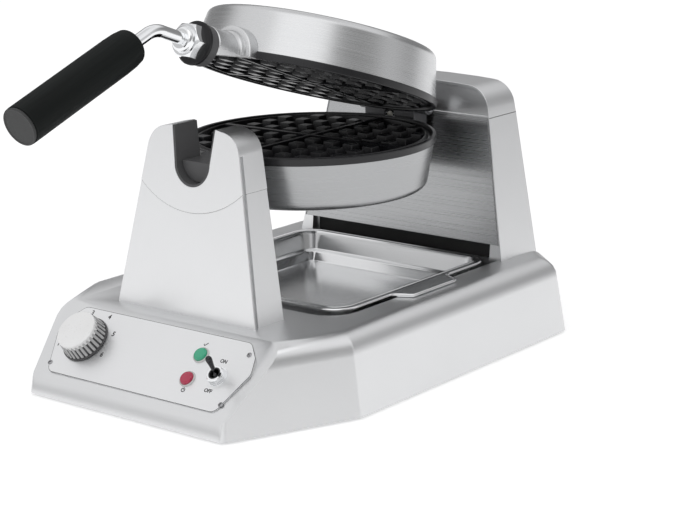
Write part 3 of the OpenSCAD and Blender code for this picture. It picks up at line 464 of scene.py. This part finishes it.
def from_node(node, width, rule=None):
    """A copy of a CAD node with rounded edges, which stands for it. rule gives an edge's own width."""
    mesh = frame["nodes"][node].data.copy()
    made = bmesh.new()
    made.from_mesh(mesh)
    bmesh.ops.remove_doubles(made, verts=made.verts, dist=0.002 * MM)
    bmesh.ops.dissolve_limit(made, angle_limit=math.radians(0.3), verts=made.verts, edges=made.edges)
    if rule:
        back = BENCH.inverted()
        weights = made.edges.layers.float.new("bevel_weight_edge")
        for edge in made.edges:
            if len(edge.link_faces) == 2 and edge.calc_face_angle() > BEVEL_ANGLE:
                own = rule(back @ ((edge.verts[0].co + edge.verts[1].co) / 2))
                edge[weights] = (width if own is None else own) / width
    made.to_mesh(mesh)
    made.free()
    for layer in list(mesh.attributes):
        if layer.name in ("custom_normal", "sharp_edge", "sharp_face"):
            mesh.attributes.remove(layer)
    obj = bpy.data.objects.new(node + "_shape", mesh)
    bpy.context.scene.collection.objects.link(obj)
    softened(obj, width, by_weight=bool(rule))
    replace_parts(obj, node)
    return finished(obj, node)


def arc(cx, cy, radius, start, end, steps):
    return [(cx + radius * math.cos(start + (end - start) * k / steps),
             cy + radius * math.sin(start + (end - start) * k / steps)) for k in range(steps + 1)]


def rounded(points, radii, steps=5):
    """Corner points of an outline, counter-clockwise, each rounded by its radius."""
    made = []
    for i, (corner, radius) in enumerate(zip(points, radii)):
        here = Vector(corner)
        before = (Vector(points[i - 1]) - here).normalized()
        after = (Vector(points[(i + 1) % len(points)]) - here).normalized()
        half = before.angle(after) / 2
        centre = here + (before + after).normalized() * radius / math.sin(half)
        start = here + before * radius / math.tan(half) - centre
        turn = math.pi - 2 * half
        made += [centre + Matrix.Rotation(turn * k / steps, 2) @ start for k in range(steps + 1)]
    return [tuple(v) for v in made]


def lofted(name, solids, place, node, finish=None):
    """One object of one or more capped solids, each a list of rings of as many points."""
    verts, faces = [], []
    for rings in solids:
        start, count = len(verts), len(rings[0])
        verts += [v for ring in rings for v in ring]
        for low in range(start, start + (len(rings) - 1) * count, count):
            high = low + count
            faces += [(low + k, low + (k + 1) % count, high + (k + 1) % count, high + k)
                      for k in range(count)]
        last = start + (len(rings) - 1) * count
        faces += [tuple(range(start, start + count)), tuple(range(last, last + count))]
    obj = mesh_object(name, verts, faces, place)
    softened(obj)
    return finished(obj, node, finish)


def thread(name, paths, radius, place, node, finish):
    """Thin cords along paths, for the dark lines in open joints and for signs."""
    data = bpy.data.curves.new(name, "CURVE")
    data.dimensions = "3D"
    data.bevel_depth = radius * MM
    data.bevel_resolution = 1
    data.use_fill_caps = True
    for path in paths:
        spline = data.splines.new("POLY")
        spline.points.add(len(path) - 1)
        for point, target in zip(spline.points, path):
            point.co = (*(place @ Vector(target)), 1)
    return as_mesh(name, data, Matrix.Identity(4), node, finish)


def as_mesh(name, data, place, node, finish):
    """Turns curve or text data into a mesh object."""
    source = bpy.data.objects.new(name + "_source", data)
    bpy.context.scene.collection.objects.link(source)
    bpy.context.view_layer.update()
    mesh = bpy.data.meshes.new_from_object(source.evaluated_get(bpy.context.evaluated_depsgraph_get()))
    bpy.data.objects.remove(source)
    mesh.transform(place)
    obj = bpy.data.objects.new(name, mesh)
    bpy.context.scene.collection.objects.link(obj)
    return finished(obj, node, finish)


def half_turned(name, profile, place, node, segments=48):
    """Half a round along y, above place's xy plane; the profile holds (radius, y) from the front back."""
    turns = [math.pi * k / segments for k in range(segments + 1)]
    rings = [[(radius * math.cos(turn), y, SEAT + radius * math.sin(turn)) for turn in turns]
             for radius, y in profile]
    return lofted(name, [rings], place, node)


def revolved(name, profile, place, node, closed=True, segments=160, finish=None):
    """Turns a profile of (radius, z) points round z; points on the axis close to a pole."""
    verts, faces, rings = [], [], []
    turns = [2 * math.pi * k / segments for k in range(segments)]
    for radius, z in profile:
        if abs(radius) < 1e-6:
            rings.append([len(verts)])
            verts.append((0, 0, z))
        else:
            rings.append(range(len(verts), len(verts) + segments))
            verts += [(radius * math.cos(turn), radius * math.sin(turn), z) for turn in turns]
    pairs = list(zip(rings, rings[1:] + rings[:1] if closed else rings[1:]))
    for low, high in pairs:
        for k in range(segments):
            corners = [low[k % len(low)], low[(k + 1) % len(low)],
                       high[(k + 1) % len(high)], high[k % len(high)]]
            corners = list(dict.fromkeys(corners))
            if len(corners) > 2:
                faces.append(corners)
    obj = mesh_object(name, verts, faces, place)
    softened(obj)
    return finished(obj, node, finish)


# ---------- irons ----------

PLATE_R = 98
HOUSING_RIM_R = 96.5
HOUSING_BACK_R = 90
IRON_DEPTH = 42
RIM_HEIGHT = 6
FILLET = 7
HOUSING_WALL = 2
WAFFLE_R = 88.5
POCKET_DEPTH = 13
PLATE_WEB = 4
STUD_PITCH = 19
STUD_TOP = 9
STUD_FOOT = 13
STUD_DROP = 0.6
DIVIDER = 4
WALL_TOP = 0.8
SEAT = 0.15
# how far a stud or bar reaches into the floor, and how far it reaches into the wall round the waffle
SUNK, INTO_WALL = 0.3, 0.2
BAR_EDGE = 0.4
IRON_SEGMENTS = 192


def housing(name, place, node):
    """Drawn shell of an iron, with a rounded back edge and a turned-in lip."""
    lean = math.atan2(HOUSING_RIM_R - HOUSING_BACK_R, IRON_DEPTH - RIM_HEIGHT)
    wall = HOUSING_RIM_R - (IRON_DEPTH - FILLET - RIM_HEIGHT) * math.tan(lean)

    def skin(inward):
        return [(HOUSING_RIM_R - inward / math.cos(lean), RIM_HEIGHT + inward / 4)] + arc(
            wall - FILLET / math.cos(lean), IRON_DEPTH - FILLET, FILLET - inward, lean, math.pi / 2, 12) + [
            (0, IRON_DEPTH - inward)]

    profile = skin(0) + skin(HOUSING_WALL)[::-1]
    obj = revolved(name, profile, place, node, segments=IRON_SEGMENTS)
    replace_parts(obj, node)


def plate_ring(name, place, node):
    """Rim of a grid plate: the wall round the waffle, the gutter outside it and the black band."""
    edge = 0.8
    profile = [(WAFFLE_R - 3.4, POCKET_DEPTH + 0.4), (WAFFLE_R - 2.8, POCKET_DEPTH - 0.6)]
    profile += arc(WAFFLE_R + 0.8, WALL_TOP + edge, edge, math.pi * 1.02, math.pi * 1.98, 6)
    profile += [(WAFFLE_R + 2.6, 3.0), (WAFFLE_R + 3.4, 3.5), (PLATE_R - 4.4, 3.5), (PLATE_R - 3.7, 3.0)]
    profile += arc(PLATE_R - 2.4, SEAT + edge, edge, math.pi * 1.05, math.pi * 1.5, 4)
    profile += arc(PLATE_R - edge, SEAT + edge, edge, math.pi * 1.5, math.pi * 2, 5)
    profile += arc(PLATE_R - edge, RIM_HEIGHT - edge, edge, 0, math.pi / 2, 4)
    profile += [(WAFFLE_R + 4, RIM_HEIGHT), (WAFFLE_R + 2.5, POCKET_DEPTH + PLATE_WEB),
                (WAFFLE_R - 6, POCKET_DEPTH + PLATE_WEB)]
    return revolved(name, profile, place, node, segments=IRON_SEGMENTS)


def stud_ring(cx, cy, half):
    """Outline of a stud at one level, as points round its square, drawn in to the waffle's edge."""
    corners = rounded([(-half, -half), (half, -half), (half, half), (-half, half)], [0.7] * 4, 3)
    made = []
    for a, b in zip(corners, corners[1:] + corners[:1]):
        steps = 6 if math.dist(a, b) > 2 else 1
        made += [(cx + a[0] + (b[0] - a[0]) * k / steps, cy + a[1] + (b[1] - a[1]) * k / steps)
                 for k in range(steps)]
    drawn = [min(1.0, (WAFFLE_R + INTO_WALL) / math.hypot(x, y)) for x, y in made]
    return [(x * k, y * k) for (x, y), k in zip(made, drawn)]


def grid_face(name, place, node):
    """The waffle grid: flat-topped studs in quarters, the dividing bars between them and the floor."""
    first = DIVIDER / 2 + STUD_FOOT / 2 + (STUD_PITCH - STUD_FOOT) / 2
    centres = [side * (first + STUD_PITCH * k) for side in (-1, 1) for k in range(5)]
    foot = POCKET_DEPTH + SUNK
    levels = ((STUD_FOOT / 2 + 0.05, foot), (STUD_TOP / 2 + 0.05, STUD_DROP + 0.45),
              (STUD_TOP / 2 - 0.1, STUD_DROP + 0.12), (STUD_TOP / 2 - 0.4, STUD_DROP))
    solids = [[[(x, y, z) for x, y in stud_ring(cx, cy, half)] for half, z in levels]
              for cx in centres for cy in centres if math.hypot(cx, cy) < WAFFLE_R - 3]
    half = DIVIDER / 2
    bar = [(-half, foot), (-half, STUD_DROP + BAR_EDGE), (-half + BAR_EDGE, STUD_DROP),
           (half - BAR_EDGE, STUD_DROP), (half, STUD_DROP + BAR_EDGE), (half, foot)]
    reach = WAFFLE_R + INTO_WALL
    solids.append([[(a, side * reach, z) for a, z in bar] for side in (-1, 1)])
    solids += [[[(side * end, a, z) for a, z in bar] for end in (half - SUNK, reach)] for side in (-1, 1)]
    lofted(name, solids, place, node)
    edge, back = WAFFLE_R - INTO_WALL, POCKET_DEPTH + PLATE_WEB - SUNK
    floor = [(0, POCKET_DEPTH), (edge, POCKET_DEPTH), (edge, back), (0, back)]
    revolved(name + "_floor", floor, place, node, closed=False, segments=IRON_SEGMENTS)


def irons():
    for side, place in (("lower", LOWER), ("upper", UPPER)):
        housing(side + "_shell", place, side + "_housing")
        node = side + "_grid_plate"
        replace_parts(plate_ring(side + "_plate_rim", place, node), node)
        grid_face(side + "_grid_face", place, node)


# ---------- handle ----------

JOURNAL_FRONT = 129.5
JOURNAL_R = 15.4
BOSS_R = 22.0


def handle():
    grip = [(0, 0)] + arc(GRIP_R - 5, 4, 4, -math.pi / 2, -0.35, 6)
    grip += [(GRIP_R - 0.35, 9), (GRIP_R, 18), (GRIP_R, GRIP_LENGTH - 0.4), (GRIP_R - 0.4, GRIP_LENGTH),
             (0, GRIP_LENGTH)]
    place = GRIP @ Matrix.Translation((0, 0, GRIP_START))
    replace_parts(revolved("grip_body", grip, place, "handle_grip", closed=False, segments=96), "handle_grip")
    cap = [(0, 0), (GRIP_R - 0.6, 0)] + arc(GRIP_R - 1.0, 1.2, 0.8, -0.3, math.pi / 2, 4)
    cap += [(GRIP_R - 1.7, 1.9), (GRIP_R - 2.0, 1.6), (0, 1.6)]
    place = GRIP @ Matrix.Translation((0, 0, GRIP_START + GRIP_LENGTH + 0.2))
    made = revolved("grip_cap", cap, place, "grip_end_cap", closed=False, segments=96, finish="grip_disc")
    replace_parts(made, "grip_end_cap")
    # black flange, dark ring and the nut's bulb, each about the turning axis of the lid
    front = -COLLAR_FRONT
    ring_about(front + 0.1, "collar_flange", "handle_collar", "black_ring",
               [(5, 0), (15.2, 0), (16.4, 1.0), (16.4, 2.9), (15.6, 3.6), (5, 3.6)])
    ring_about(front + 3.9, "collar_ring", "handle_collar", None,
               [(5, 0), (14.9, 0), (15.4, 0.5), (15.4, 7.3), (14.9, 7.8), (5, 7.8)])
    ring_about(front - NUT_LENGTH - 4.4, "nut_bulb", "handle_nut", None,
               [(4.8, 0)] + arc(6.9, 2.6, 2.6, -math.pi / 2 - 0.3, 0.2, 6) + [(10.2, 4.5), (4.8, 4.5)])
    wall = -HOUSING_RIM_R + 2.5
    profile = [(JOURNAL_R - 0.6, -JOURNAL_FRONT), (JOURNAL_R, 0.6 - JOURNAL_FRONT), (JOURNAL_R, -109.2),
               (15.9, -107.8), (17.0, -107.0), (17.5, -106.4), (17.5, -104.6), (18.2, -103.6),
               (20.6, -103.4), (BOSS_R - 0.3, -102.8), (BOSS_R, -101.8), (BOSS_R, wall)]
    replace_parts(half_turned("upper_journal_boss", profile, UPPER, "upper_journal"), "upper_journal")
    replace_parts(half_turned("lower_journal_boss", profile, LOWER, "lower_journal"), "lower_journal")


def ring_about(y, name, node, finish, profile):
    """A closed profile of (radius, distance back) turned about the lid's own turning axis, starting at y."""
    place = UPPER @ Matrix.Translation((0, y, 0)) @ Matrix.Rotation(-math.pi / 2, 4, "X")
    made = revolved(name, profile, place, node, segments=96, finish=finish)
    if node == "handle_collar":
        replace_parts(made, node)


# ---------- controls ----------

KNOB_HEIGHT = 14
RIBS = 30
# height, radius and half width of a rib at its foot, shoulder and top
RIB_LEVELS = ((1.0, 18.2, 1.05), (KNOB_HEIGHT - 3.2, 16.7, 0.95), (KNOB_HEIGHT - 1.2, 15.9, 0.8))
RING_IN, RING_OUT = 4.8, 6.6
SCREW_PLACES = ((-86, 15.5), (86, 15.5), (86.5, 57.5), (-86.5, 57.5))
DIAL_R = 24.5
# degrees anticlockwise from x, for the first number and between two numbers
DIAL_START, DIAL_STEP = 199, 44
INK_OUT = PANEL_THICK + 0.03


def on_panel(x, up, out=PANEL_THICK):
    return PANEL @ Matrix.Translation((x, up, out))


def rib_ring(turn, z, radius, half):
    """Outline of a rib at one level, with its outer corners taken off."""
    side = [(radius - 2, -half), (radius - 0.35, -half), (radius, -half * 0.45)]
    return [turn @ Vector((x, y, z)) for x, y in side + [(x, -y) for x, y in side[::-1]]]


def knob():
    place = on_panel(*KNOB, PANEL_THICK + 0.4)
    face = [(0, 8.0), (15.0, 8.0), (15.6, 8.4), (16.1, 9.5), (16.1, KNOB_HEIGHT - 0.7)] + arc(
        15.4, KNOB_HEIGHT - 0.7, 0.7, 0, math.pi / 2, 4) + [(0, KNOB_HEIGHT)]
    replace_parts(revolved("knob_face", face, place, "control_knob", closed=False), "control_knob")
    # the skirt is the knob's core between the ribs, coloured near black as painted shade of the grooves
    skirt = [(3.4, 0), (18.9, 0), (19.0, 0.3), (19.0, 0.9), (18.6, 1.3), (17.3, 1.4),
             (15.7, KNOB_HEIGHT - 2.0), (3.4, 8.2)]
    revolved("knob_skirt", skirt, place, "control_knob", finish="painted_shade_knob_groove")
    turns = [Matrix.Rotation(2 * math.pi * k / RIBS, 3, "Z") for k in range(RIBS)]
    ribs = [[rib_ring(turn, *level) for level in RIB_LEVELS] for turn in turns]
    lofted("knob_ribs", ribs, place, "control_knob", "knob_rib")


def lamps():
    for name, up in LAMPS.items():
        place = on_panel(LAMP_X, up)
        node = name + "_lamp"
        dome = [(0, -14), (4.8, -14), (4.8, 0.3), (5.3, 0.5), (5.35, 1.2)]
        dome += arc(3.4, 1.2, 1.9, 0.15, math.pi / 2 - 0.25, 6) + [(2.6, 3.15), (0, 3.3)]
        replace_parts(revolved(node + "_lens", dome, place, node, closed=False, segments=64), node)
        bezel = [(4.9, 0), (6.5, 0), (6.5, 0.5), (6.2, 1.0), (5.8, 1.2), (5.45, 1.0), (5.4, 0.2), (4.9, 0.2)]
        revolved(node + "_bezel", bezel, place, node, segments=64, finish="lamp_bezel")


def switch():
    place = on_panel(*SWITCH, 3.0) @ Matrix.Rotation(math.radians(-15), 4, "X")
    bat = arc(0, 0, 2.9, -math.pi / 2, 0.95, 8) + [(1.45, 3.6), (1.4, 5.0), (1.9, 11.0), (2.35, 14.0)] + arc(
        0, 15.6, 2.4, 0.05, math.pi / 2, 6)
    bat[0], bat[-1] = (0, bat[0][1]), (0, bat[-1][1])
    # the bat is chrome; its dark colour is the painted dark reflection along it
    made = revolved("switch_bat", bat, place, "switch_lever", closed=False, segments=40, finish="painted_dark_reflection_chrome")
    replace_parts(made, "switch_lever")
    ring = [(RING_IN, 3.7), (RING_OUT, 3.7), (RING_OUT, 4.6), (RING_OUT - 0.4, 5.05), (RING_IN, 5.05)]
    revolved("switch_ring", ring, on_panel(*SWITCH), "switch_nut", segments=64, finish="chrome")


def screws():
    """Small domed screw heads with a slot each, in the corners of the control plate."""
    node = "panel_screws"
    head = [(0, -PANEL_THICK), (1.5, -PANEL_THICK), (1.5, 0), (2.0, 0), (2.0, 0.25), (1.5, 0.65), (0, 0.8)]
    outline = [(-1.2, -0.22), (1.2, -0.22), (1.2, 0.22), (-1.2, 0.22)]
    slot = [[(x, y, z) for x, y in outline] for z in (-0.3, 0.1)]
    for k, place in enumerate(SCREW_PLACES):
        made = revolved("screw_%d" % (k + 1), head, on_panel(*place), node, closed=False, segments=40)
        if k == 0:
            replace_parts(made, node)
        turn = on_panel(*place, PANEL_THICK + 0.74) @ Matrix.Rotation(0.5 + k, 4, "Z")
        lofted("screw_slot_%d" % (k + 1), [slot], turn, node, "ink")


def lettering(name, text, x, up, size):
    data = bpy.data.curves.new(name, "FONT")
    data.body = text
    data.size = size
    data.extrude = 0.02
    data.offset = 0.13
    data.resolution_u = 4
    data.align_x = "CENTER"
    data.align_y = "CENTER"
    as_mesh(name, data, on_panel(x, up, INK_OUT), "control_panel", "ink")


def panel_marks():
    for k in range(6):
        angle = math.radians(DIAL_START - DIAL_STEP * k)
        x, up = KNOB[0] + DIAL_R * math.cos(angle), KNOB[1] + DIAL_R * math.sin(angle)
        lettering("dial_%d" % (k + 1), str(k + 1), x, up, 5.6)
    lettering("label_on", "ON", 68.2, 48.2, 4.0)
    lettering("label_off", "OFF", 69.0, 23.4, 4.0)
    # generic signs: a tick for the ready lamp, a broken ring with a bar for the power lamp
    place = on_panel(0, 0, INK_OUT)
    x, up = 44.6, 58.2
    tick = [[(x - 1.6, up, 0), (x - 0.5, up - 1.2, 0), (x + 1.7, up + 1.4, 0)]]
    thread("sign_ready", tick, 0.3, place, "control_panel", "ink")
    x, up = 47.5, 19.6
    ring = [(x + a, up + b, 0) for a, b in arc(0, 0, 1.5, math.radians(125), math.radians(415), 20)]
    thread("sign_power", [ring, [(x, up + 0.3, 0), (x, up + 2.1, 0)]], 0.28, place, "control_panel", "ink")


def panel_outline():
    """Outline of the control plate, as points (x, up the slope)."""
    half, top = 96, SLOPE_LENGTH - 5
    points = [(-half + 12, 8.5), (half - 12, 8.5), (half + 1, 43), (half - 3, 56), (half - 13, top),
              (-half + 13, top), (-half + 3, 56), (-half - 1, 43)]
    return rounded(points, [7, 7, 8, 5, 7, 7, 5, 8], 6)


def joints():
    """Dark lines in the open joints: round the control plate and along the seams of the towers."""
    place = on_panel(0, 0, PANEL_THICK - 0.12)
    line = [(x, y, 0) for x, y in panel_outline()]
    thread("plate_joint", [line + line[:1]], 0.2, place, "base_housing", "dark_bearing")
    reach = front_half(FRONT_SEAM_END) - SIDE_STEP
    across = [reach * k / 30 for k in range(-30, 31)]
    arch = [(x, front_y(front_seam(x)) + 0.35, front_seam(x)) for x in across]
    level = front_seam(reach)
    sides = [[(side * (front_half(level) - SIDE_STEP - 0.3), y, level)
              for y in (front_y(level) + SLOT_LIP + SLOT, front_in_y(level))] for side in (-1, 1)]
    thread("front_seam", [arch] + sides, 0.25, BENCH, "front_tower", "ink")
    half = rear_half(REAR_SEAM) - 0.35
    back = rear_out_y(REAR_SEAM) - 0.35
    start = rear_in_y(REAR_SEAM) + 0.3
    path = [(x, y, REAR_SEAM) for x, y in ((-half, start), (-half, back), (half, back), (half, start))]
    thread("rear_seam", [path], 0.25, BENCH, "rear_tower", "ink")


def painted_shade_strip():
    """Dark strip of painted shade at the back of the gap under the rear tower's sheet, where only shadow
    falls; it stands for no real part.
    """
    box = [(-91, 117.2), (91, 117.2), (91, 117.9), (-91, 117.9)]
    strip = [[(x, y, z) for x, y in box] for z in (61.5, 73.8)]
    lofted("painted_shade_strip", [strip], BENCH, "rear_tower", "rubber_foot")


# ---------- drip tray ----------

TRAY_HALF = 97
TRAY_MIDDLE = 11
TRAY_FLOOR = 40
TRAY_CORNER = 22
TAB_HALF = 26
TAB_OUT = 15
TAB_BLEND = 10
# half of the stretch of the right side that has close points, and their distance
TAB_SPAN, TAB_STEP = 45, 3


def smooth_step(t):
    t = min(1.0, max(0.0, t))
    return t * t * (3 - 2 * t)


def tray():
    """Pressed tray: a stepped wall, a rolled rim and the tab on the right that the rim runs round."""
    def ring(inset, z, tab=0.0):
        side = TRAY_HALF - inset
        radius = max(4.0, TRAY_CORNER - inset)
        made = []
        for sx, sy, start in ((-1, -1, math.pi), (1, -1, 1.5 * math.pi), (1, 1, 0), (-1, 1, 0.5 * math.pi)):
            made += arc(sx * (side - radius), sy * (side - radius), radius, start, start + math.pi / 2, 10)
            if (sx, sy) == (1, -1):
                for y in range(-TAB_SPAN, TAB_SPAN + 1, TAB_STEP):
                    swell = smooth_step((TAB_HALF + TAB_BLEND - abs(y)) / TAB_BLEND)
                    made.append((side + tab * TAB_OUT * swell, y))
        return [(x, y, z) for x, y in made]

    # (inset, height, share of the tab) from the floor's underside round the rim to the floor's top
    profile = [(20.5, 0.0), (19.0, 0.2), (17.6, 0.9), (14.6, 7.0), (13.6, 8.0), (10.6, 8.8), (9.8, 9.8),
               (7.4, 22.0), (6.6, 22.7), (4.5, 22.8), (2.6, 22.7, 1)]
    profile += [(1.5 - a, 23.6 + b, 1) for a, b in arc(0, 0, 1.4, -2.2, 2.4, 10)]
    profile += [(3.2, 24.2, 1), (4.9, 24.2), (5.5, 24.6)]
    profile += [(6.5 - a, 24.0 + b) for a, b in arc(0, 0, 1.0, 2.6, 0.4, 6)][::-1]
    profile += [(7.9, 23.6), (8.5, 22.0), (10.8, 10.6), (11.6, 9.8), (14.6, 9.0), (15.8, 7.8), (18.6, 2.2),
                (19.6, 1.5), (21.5, 1.2)]
    place = BENCH @ Matrix.Translation((0, TRAY_MIDDLE, TRAY_FLOOR))
    made = lofted("tray_pressing", [[ring(*entry) for entry in profile]], place, "drip_tray")
    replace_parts(made, "drip_tray")


# ---------- light, floor and camera ----------

IMAGE_WIDTH = 679
FOCAL_PIXELS = 1991.7
SENSOR = 36.0
CAMERA_PLACE = (0.98579, -1.11132, 0.46554)
CAMERA_AXES = ((0.77678, 0.62939, -0.02183), (-0.13847, 0.20451, 0.96902), (0.61436, -0.74969, 0.24602))


def camera():
    data = bpy.data.cameras.new("camera")
    data.sensor_width = SENSOR
    data.lens = FOCAL_PIXELS / IMAGE_WIDTH * SENSOR
    data.clip_end = 20
    obj = bpy.data.objects.new("camera", data)
    bpy.context.scene.collection.objects.link(obj)
    turn = Matrix(CAMERA_AXES).transposed().to_4x4()
    obj.matrix_world = Matrix.Translation(CAMERA_PLACE) @ turn
    bpy.context.scene.camera = obj


FLOOR_GLOW = 0.36
# brightness of the world, by the share of a direction that lies along behind or upwards
BEHIND_WAY = (-0.5, 0.86, 0)
BEHIND_STOPS = ((-1, 0.0), (0.0, 0.0), (0.45, 1.0), (1, 1.0))
FRONT_STOPS = ((-1, 0.95), (0.02, 0.95), (0.12, 0.62), (0.32, 0.62), (0.6, 0.95), (1, 0.9))
BACK_STOPS = ((-1, 0.9), (-0.04, 0.9), (0.06, 0.3), (0.42, 0.26), (0.7, 0.9), (0.86, 0.85), (0.97, 0.6),
              (1, 0.6))
FLAG_WAY = (0.947, -0.18, 0.26)
FLAG_LEVEL = 0.3
FLAG_STOPS = ((-1, 0), (0.82, 0), (0.94, 1), (1, 1))


def floor():
    """Pale floor that camera, gloss and glass see as white, and that keeps the object's shadow."""
    size = 4.0
    obj = mesh_object("floor", [(-size, -size, 0), (size, -size, 0), (size, size, 0), (-size, size, 0)],
                      [(0, 1, 2, 3)], Matrix.Identity(4))
    made = Finish("floor", (0.93, 0.93, 0.93), 0.0, 0.9)
    path = made.node("ShaderNodeLightPath")
    seen = made.math("MAXIMUM", path.outputs["Is Camera Ray"], path.outputs["Is Glossy Ray"])
    seen = made.math("MAXIMUM", seen, path.outputs["Is Transmission Ray"])
    made.shader.inputs["Emission Color"].default_value = (1, 1, 1, 1)
    made.link(made.math("MULTIPLY", seen, FLOOR_GLOW), made.shader.inputs["Emission Strength"])
    obj.data.materials.append(made.material)
    obj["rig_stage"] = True


def area_light(name, place, target, size, power):
    data = bpy.data.lights.new(name, "AREA")
    data.energy = power
    data.shape = "SQUARE"
    data.size = size
    obj = bpy.data.objects.new(name, data)
    bpy.context.scene.collection.objects.link(obj)
    aim = Vector(target) - Vector(place)
    obj.matrix_world = Matrix.Translation(place) @ aim.to_track_quat("-Z", "Y").to_matrix().to_4x4()


def world():
    """A pale studio all round, darker low down behind the object, with a dark flag on its right."""
    made = bpy.data.worlds.new("studio")
    bpy.context.scene.world = made
    made.use_nodes = True
    nodes, links = made.node_tree.nodes, made.node_tree.links
    background = nodes["Background"]
    direction = nodes.new("ShaderNodeTexCoord").outputs["Generated"]
    split = nodes.new("ShaderNodeSeparateXYZ")
    links.new(direction, split.inputs[0])

    def ramp(value, stops):
        """Brightness over a value from -1 to 1, with stops of (value, brightness)."""
        spread = nodes.new("ShaderNodeMapRange")
        links.new(value, spread.inputs["Value"])
        spread.inputs["From Min"].default_value = -1
        spread.inputs["From Max"].default_value = 1
        band = nodes.new("ShaderNodeValToRGB")
        band.color_ramp.interpolation = "EASE"
        links.new(spread.outputs[0], band.inputs[0])
        elements = band.color_ramp.elements
        while len(elements) < len(stops):
            elements.new(0.5)
        for element, (at, level) in zip(elements, stops):
            element.position = (at + 1) / 2
            element.color = (level, level, level * 1.01, 1)
        return band.outputs[0]

    def toward(way):
        made = nodes.new("ShaderNodeVectorMath")
        made.operation = "DOT_PRODUCT"
        links.new(direction, made.inputs[0])
        made.inputs[1].default_value = way
        return made.outputs["Value"]

    def blend(factor, low, high):
        made = nodes.new("ShaderNodeMix")
        made.data_type = "RGBA"
        links.new(factor, made.inputs["Factor"])
        for socket, value in ((made.inputs[6], low), (made.inputs[7], high)):
            if isinstance(value, float):
                socket.default_value = (value, value, value, 1)
            else:
                links.new(value, socket)
        return made.outputs[2]

    up = split.outputs["Z"]
    sky = blend(ramp(toward(BEHIND_WAY), BEHIND_STOPS), ramp(up, FRONT_STOPS), ramp(up, BACK_STOPS))
    flagged = blend(ramp(toward(FLAG_WAY), FLAG_STOPS), sky, FLAG_LEVEL)
    links.new(flagged, background.inputs["Color"])
    background.inputs["Strength"].default_value = 1.0


def studio():
    bpy.context.scene.view_settings.view_transform = "Standard"
    world()
    floor()
    area_light("key", (0.6, -1.1, 1.9), (0, 0, 0.1), 2.0, 4.5)


# ---------- everything ----------


def front_rule(at):
    """Narrow rounding at the seam and at the slots of the front tower; None keeps the node's own width."""
    if abs(at.x) < front_half(at.z) + 1 and abs(at.z - front_seam(min(abs(at.x), 60))) < 0.4:
        return 0.35
    behind = at.y - front_y(at.z)
    if abs(at.x) > front_half(at.z) - SLOT - 0.5 and 0.6 < behind < SLOT_LIP + SLOT + 0.6:
        return 0.25
    return None


EDGE_WIDTHS = {
    "base_housing": 0, "control_panel": 0.25, "front_tower": 0.9, "front_tower_cap": 0.9,
    "rear_tower": 0.6, "rear_tower_cap": 0.9, "rear_tower_sheet": 0.3, "handle_nut": 0.4,
    "hinge_bracket": 0.6, "lid_hinge_ears": 0.6, "hinge_pin": 0.4, "switch_nut": 0.2, "cable_gland": 0.4,
}

camera()
studio()
irons()
handle()
knob()
lamps()
switch()
screws()
panel_marks()
joints()
# painted shade: a dark strip in the gap under the rear tower's sheet
painted_shade_strip()
tray()
done = {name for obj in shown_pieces() for name in obj.get("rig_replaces", [])}
for node, obj in frame["nodes"].items():
    if node in done:
        continue
    if node in EDGE_WIDTHS:
        from_node(node, EDGE_WIDTHS[node], front_rule if node == "front_tower" else None)
    else:
        dressed(obj, node)
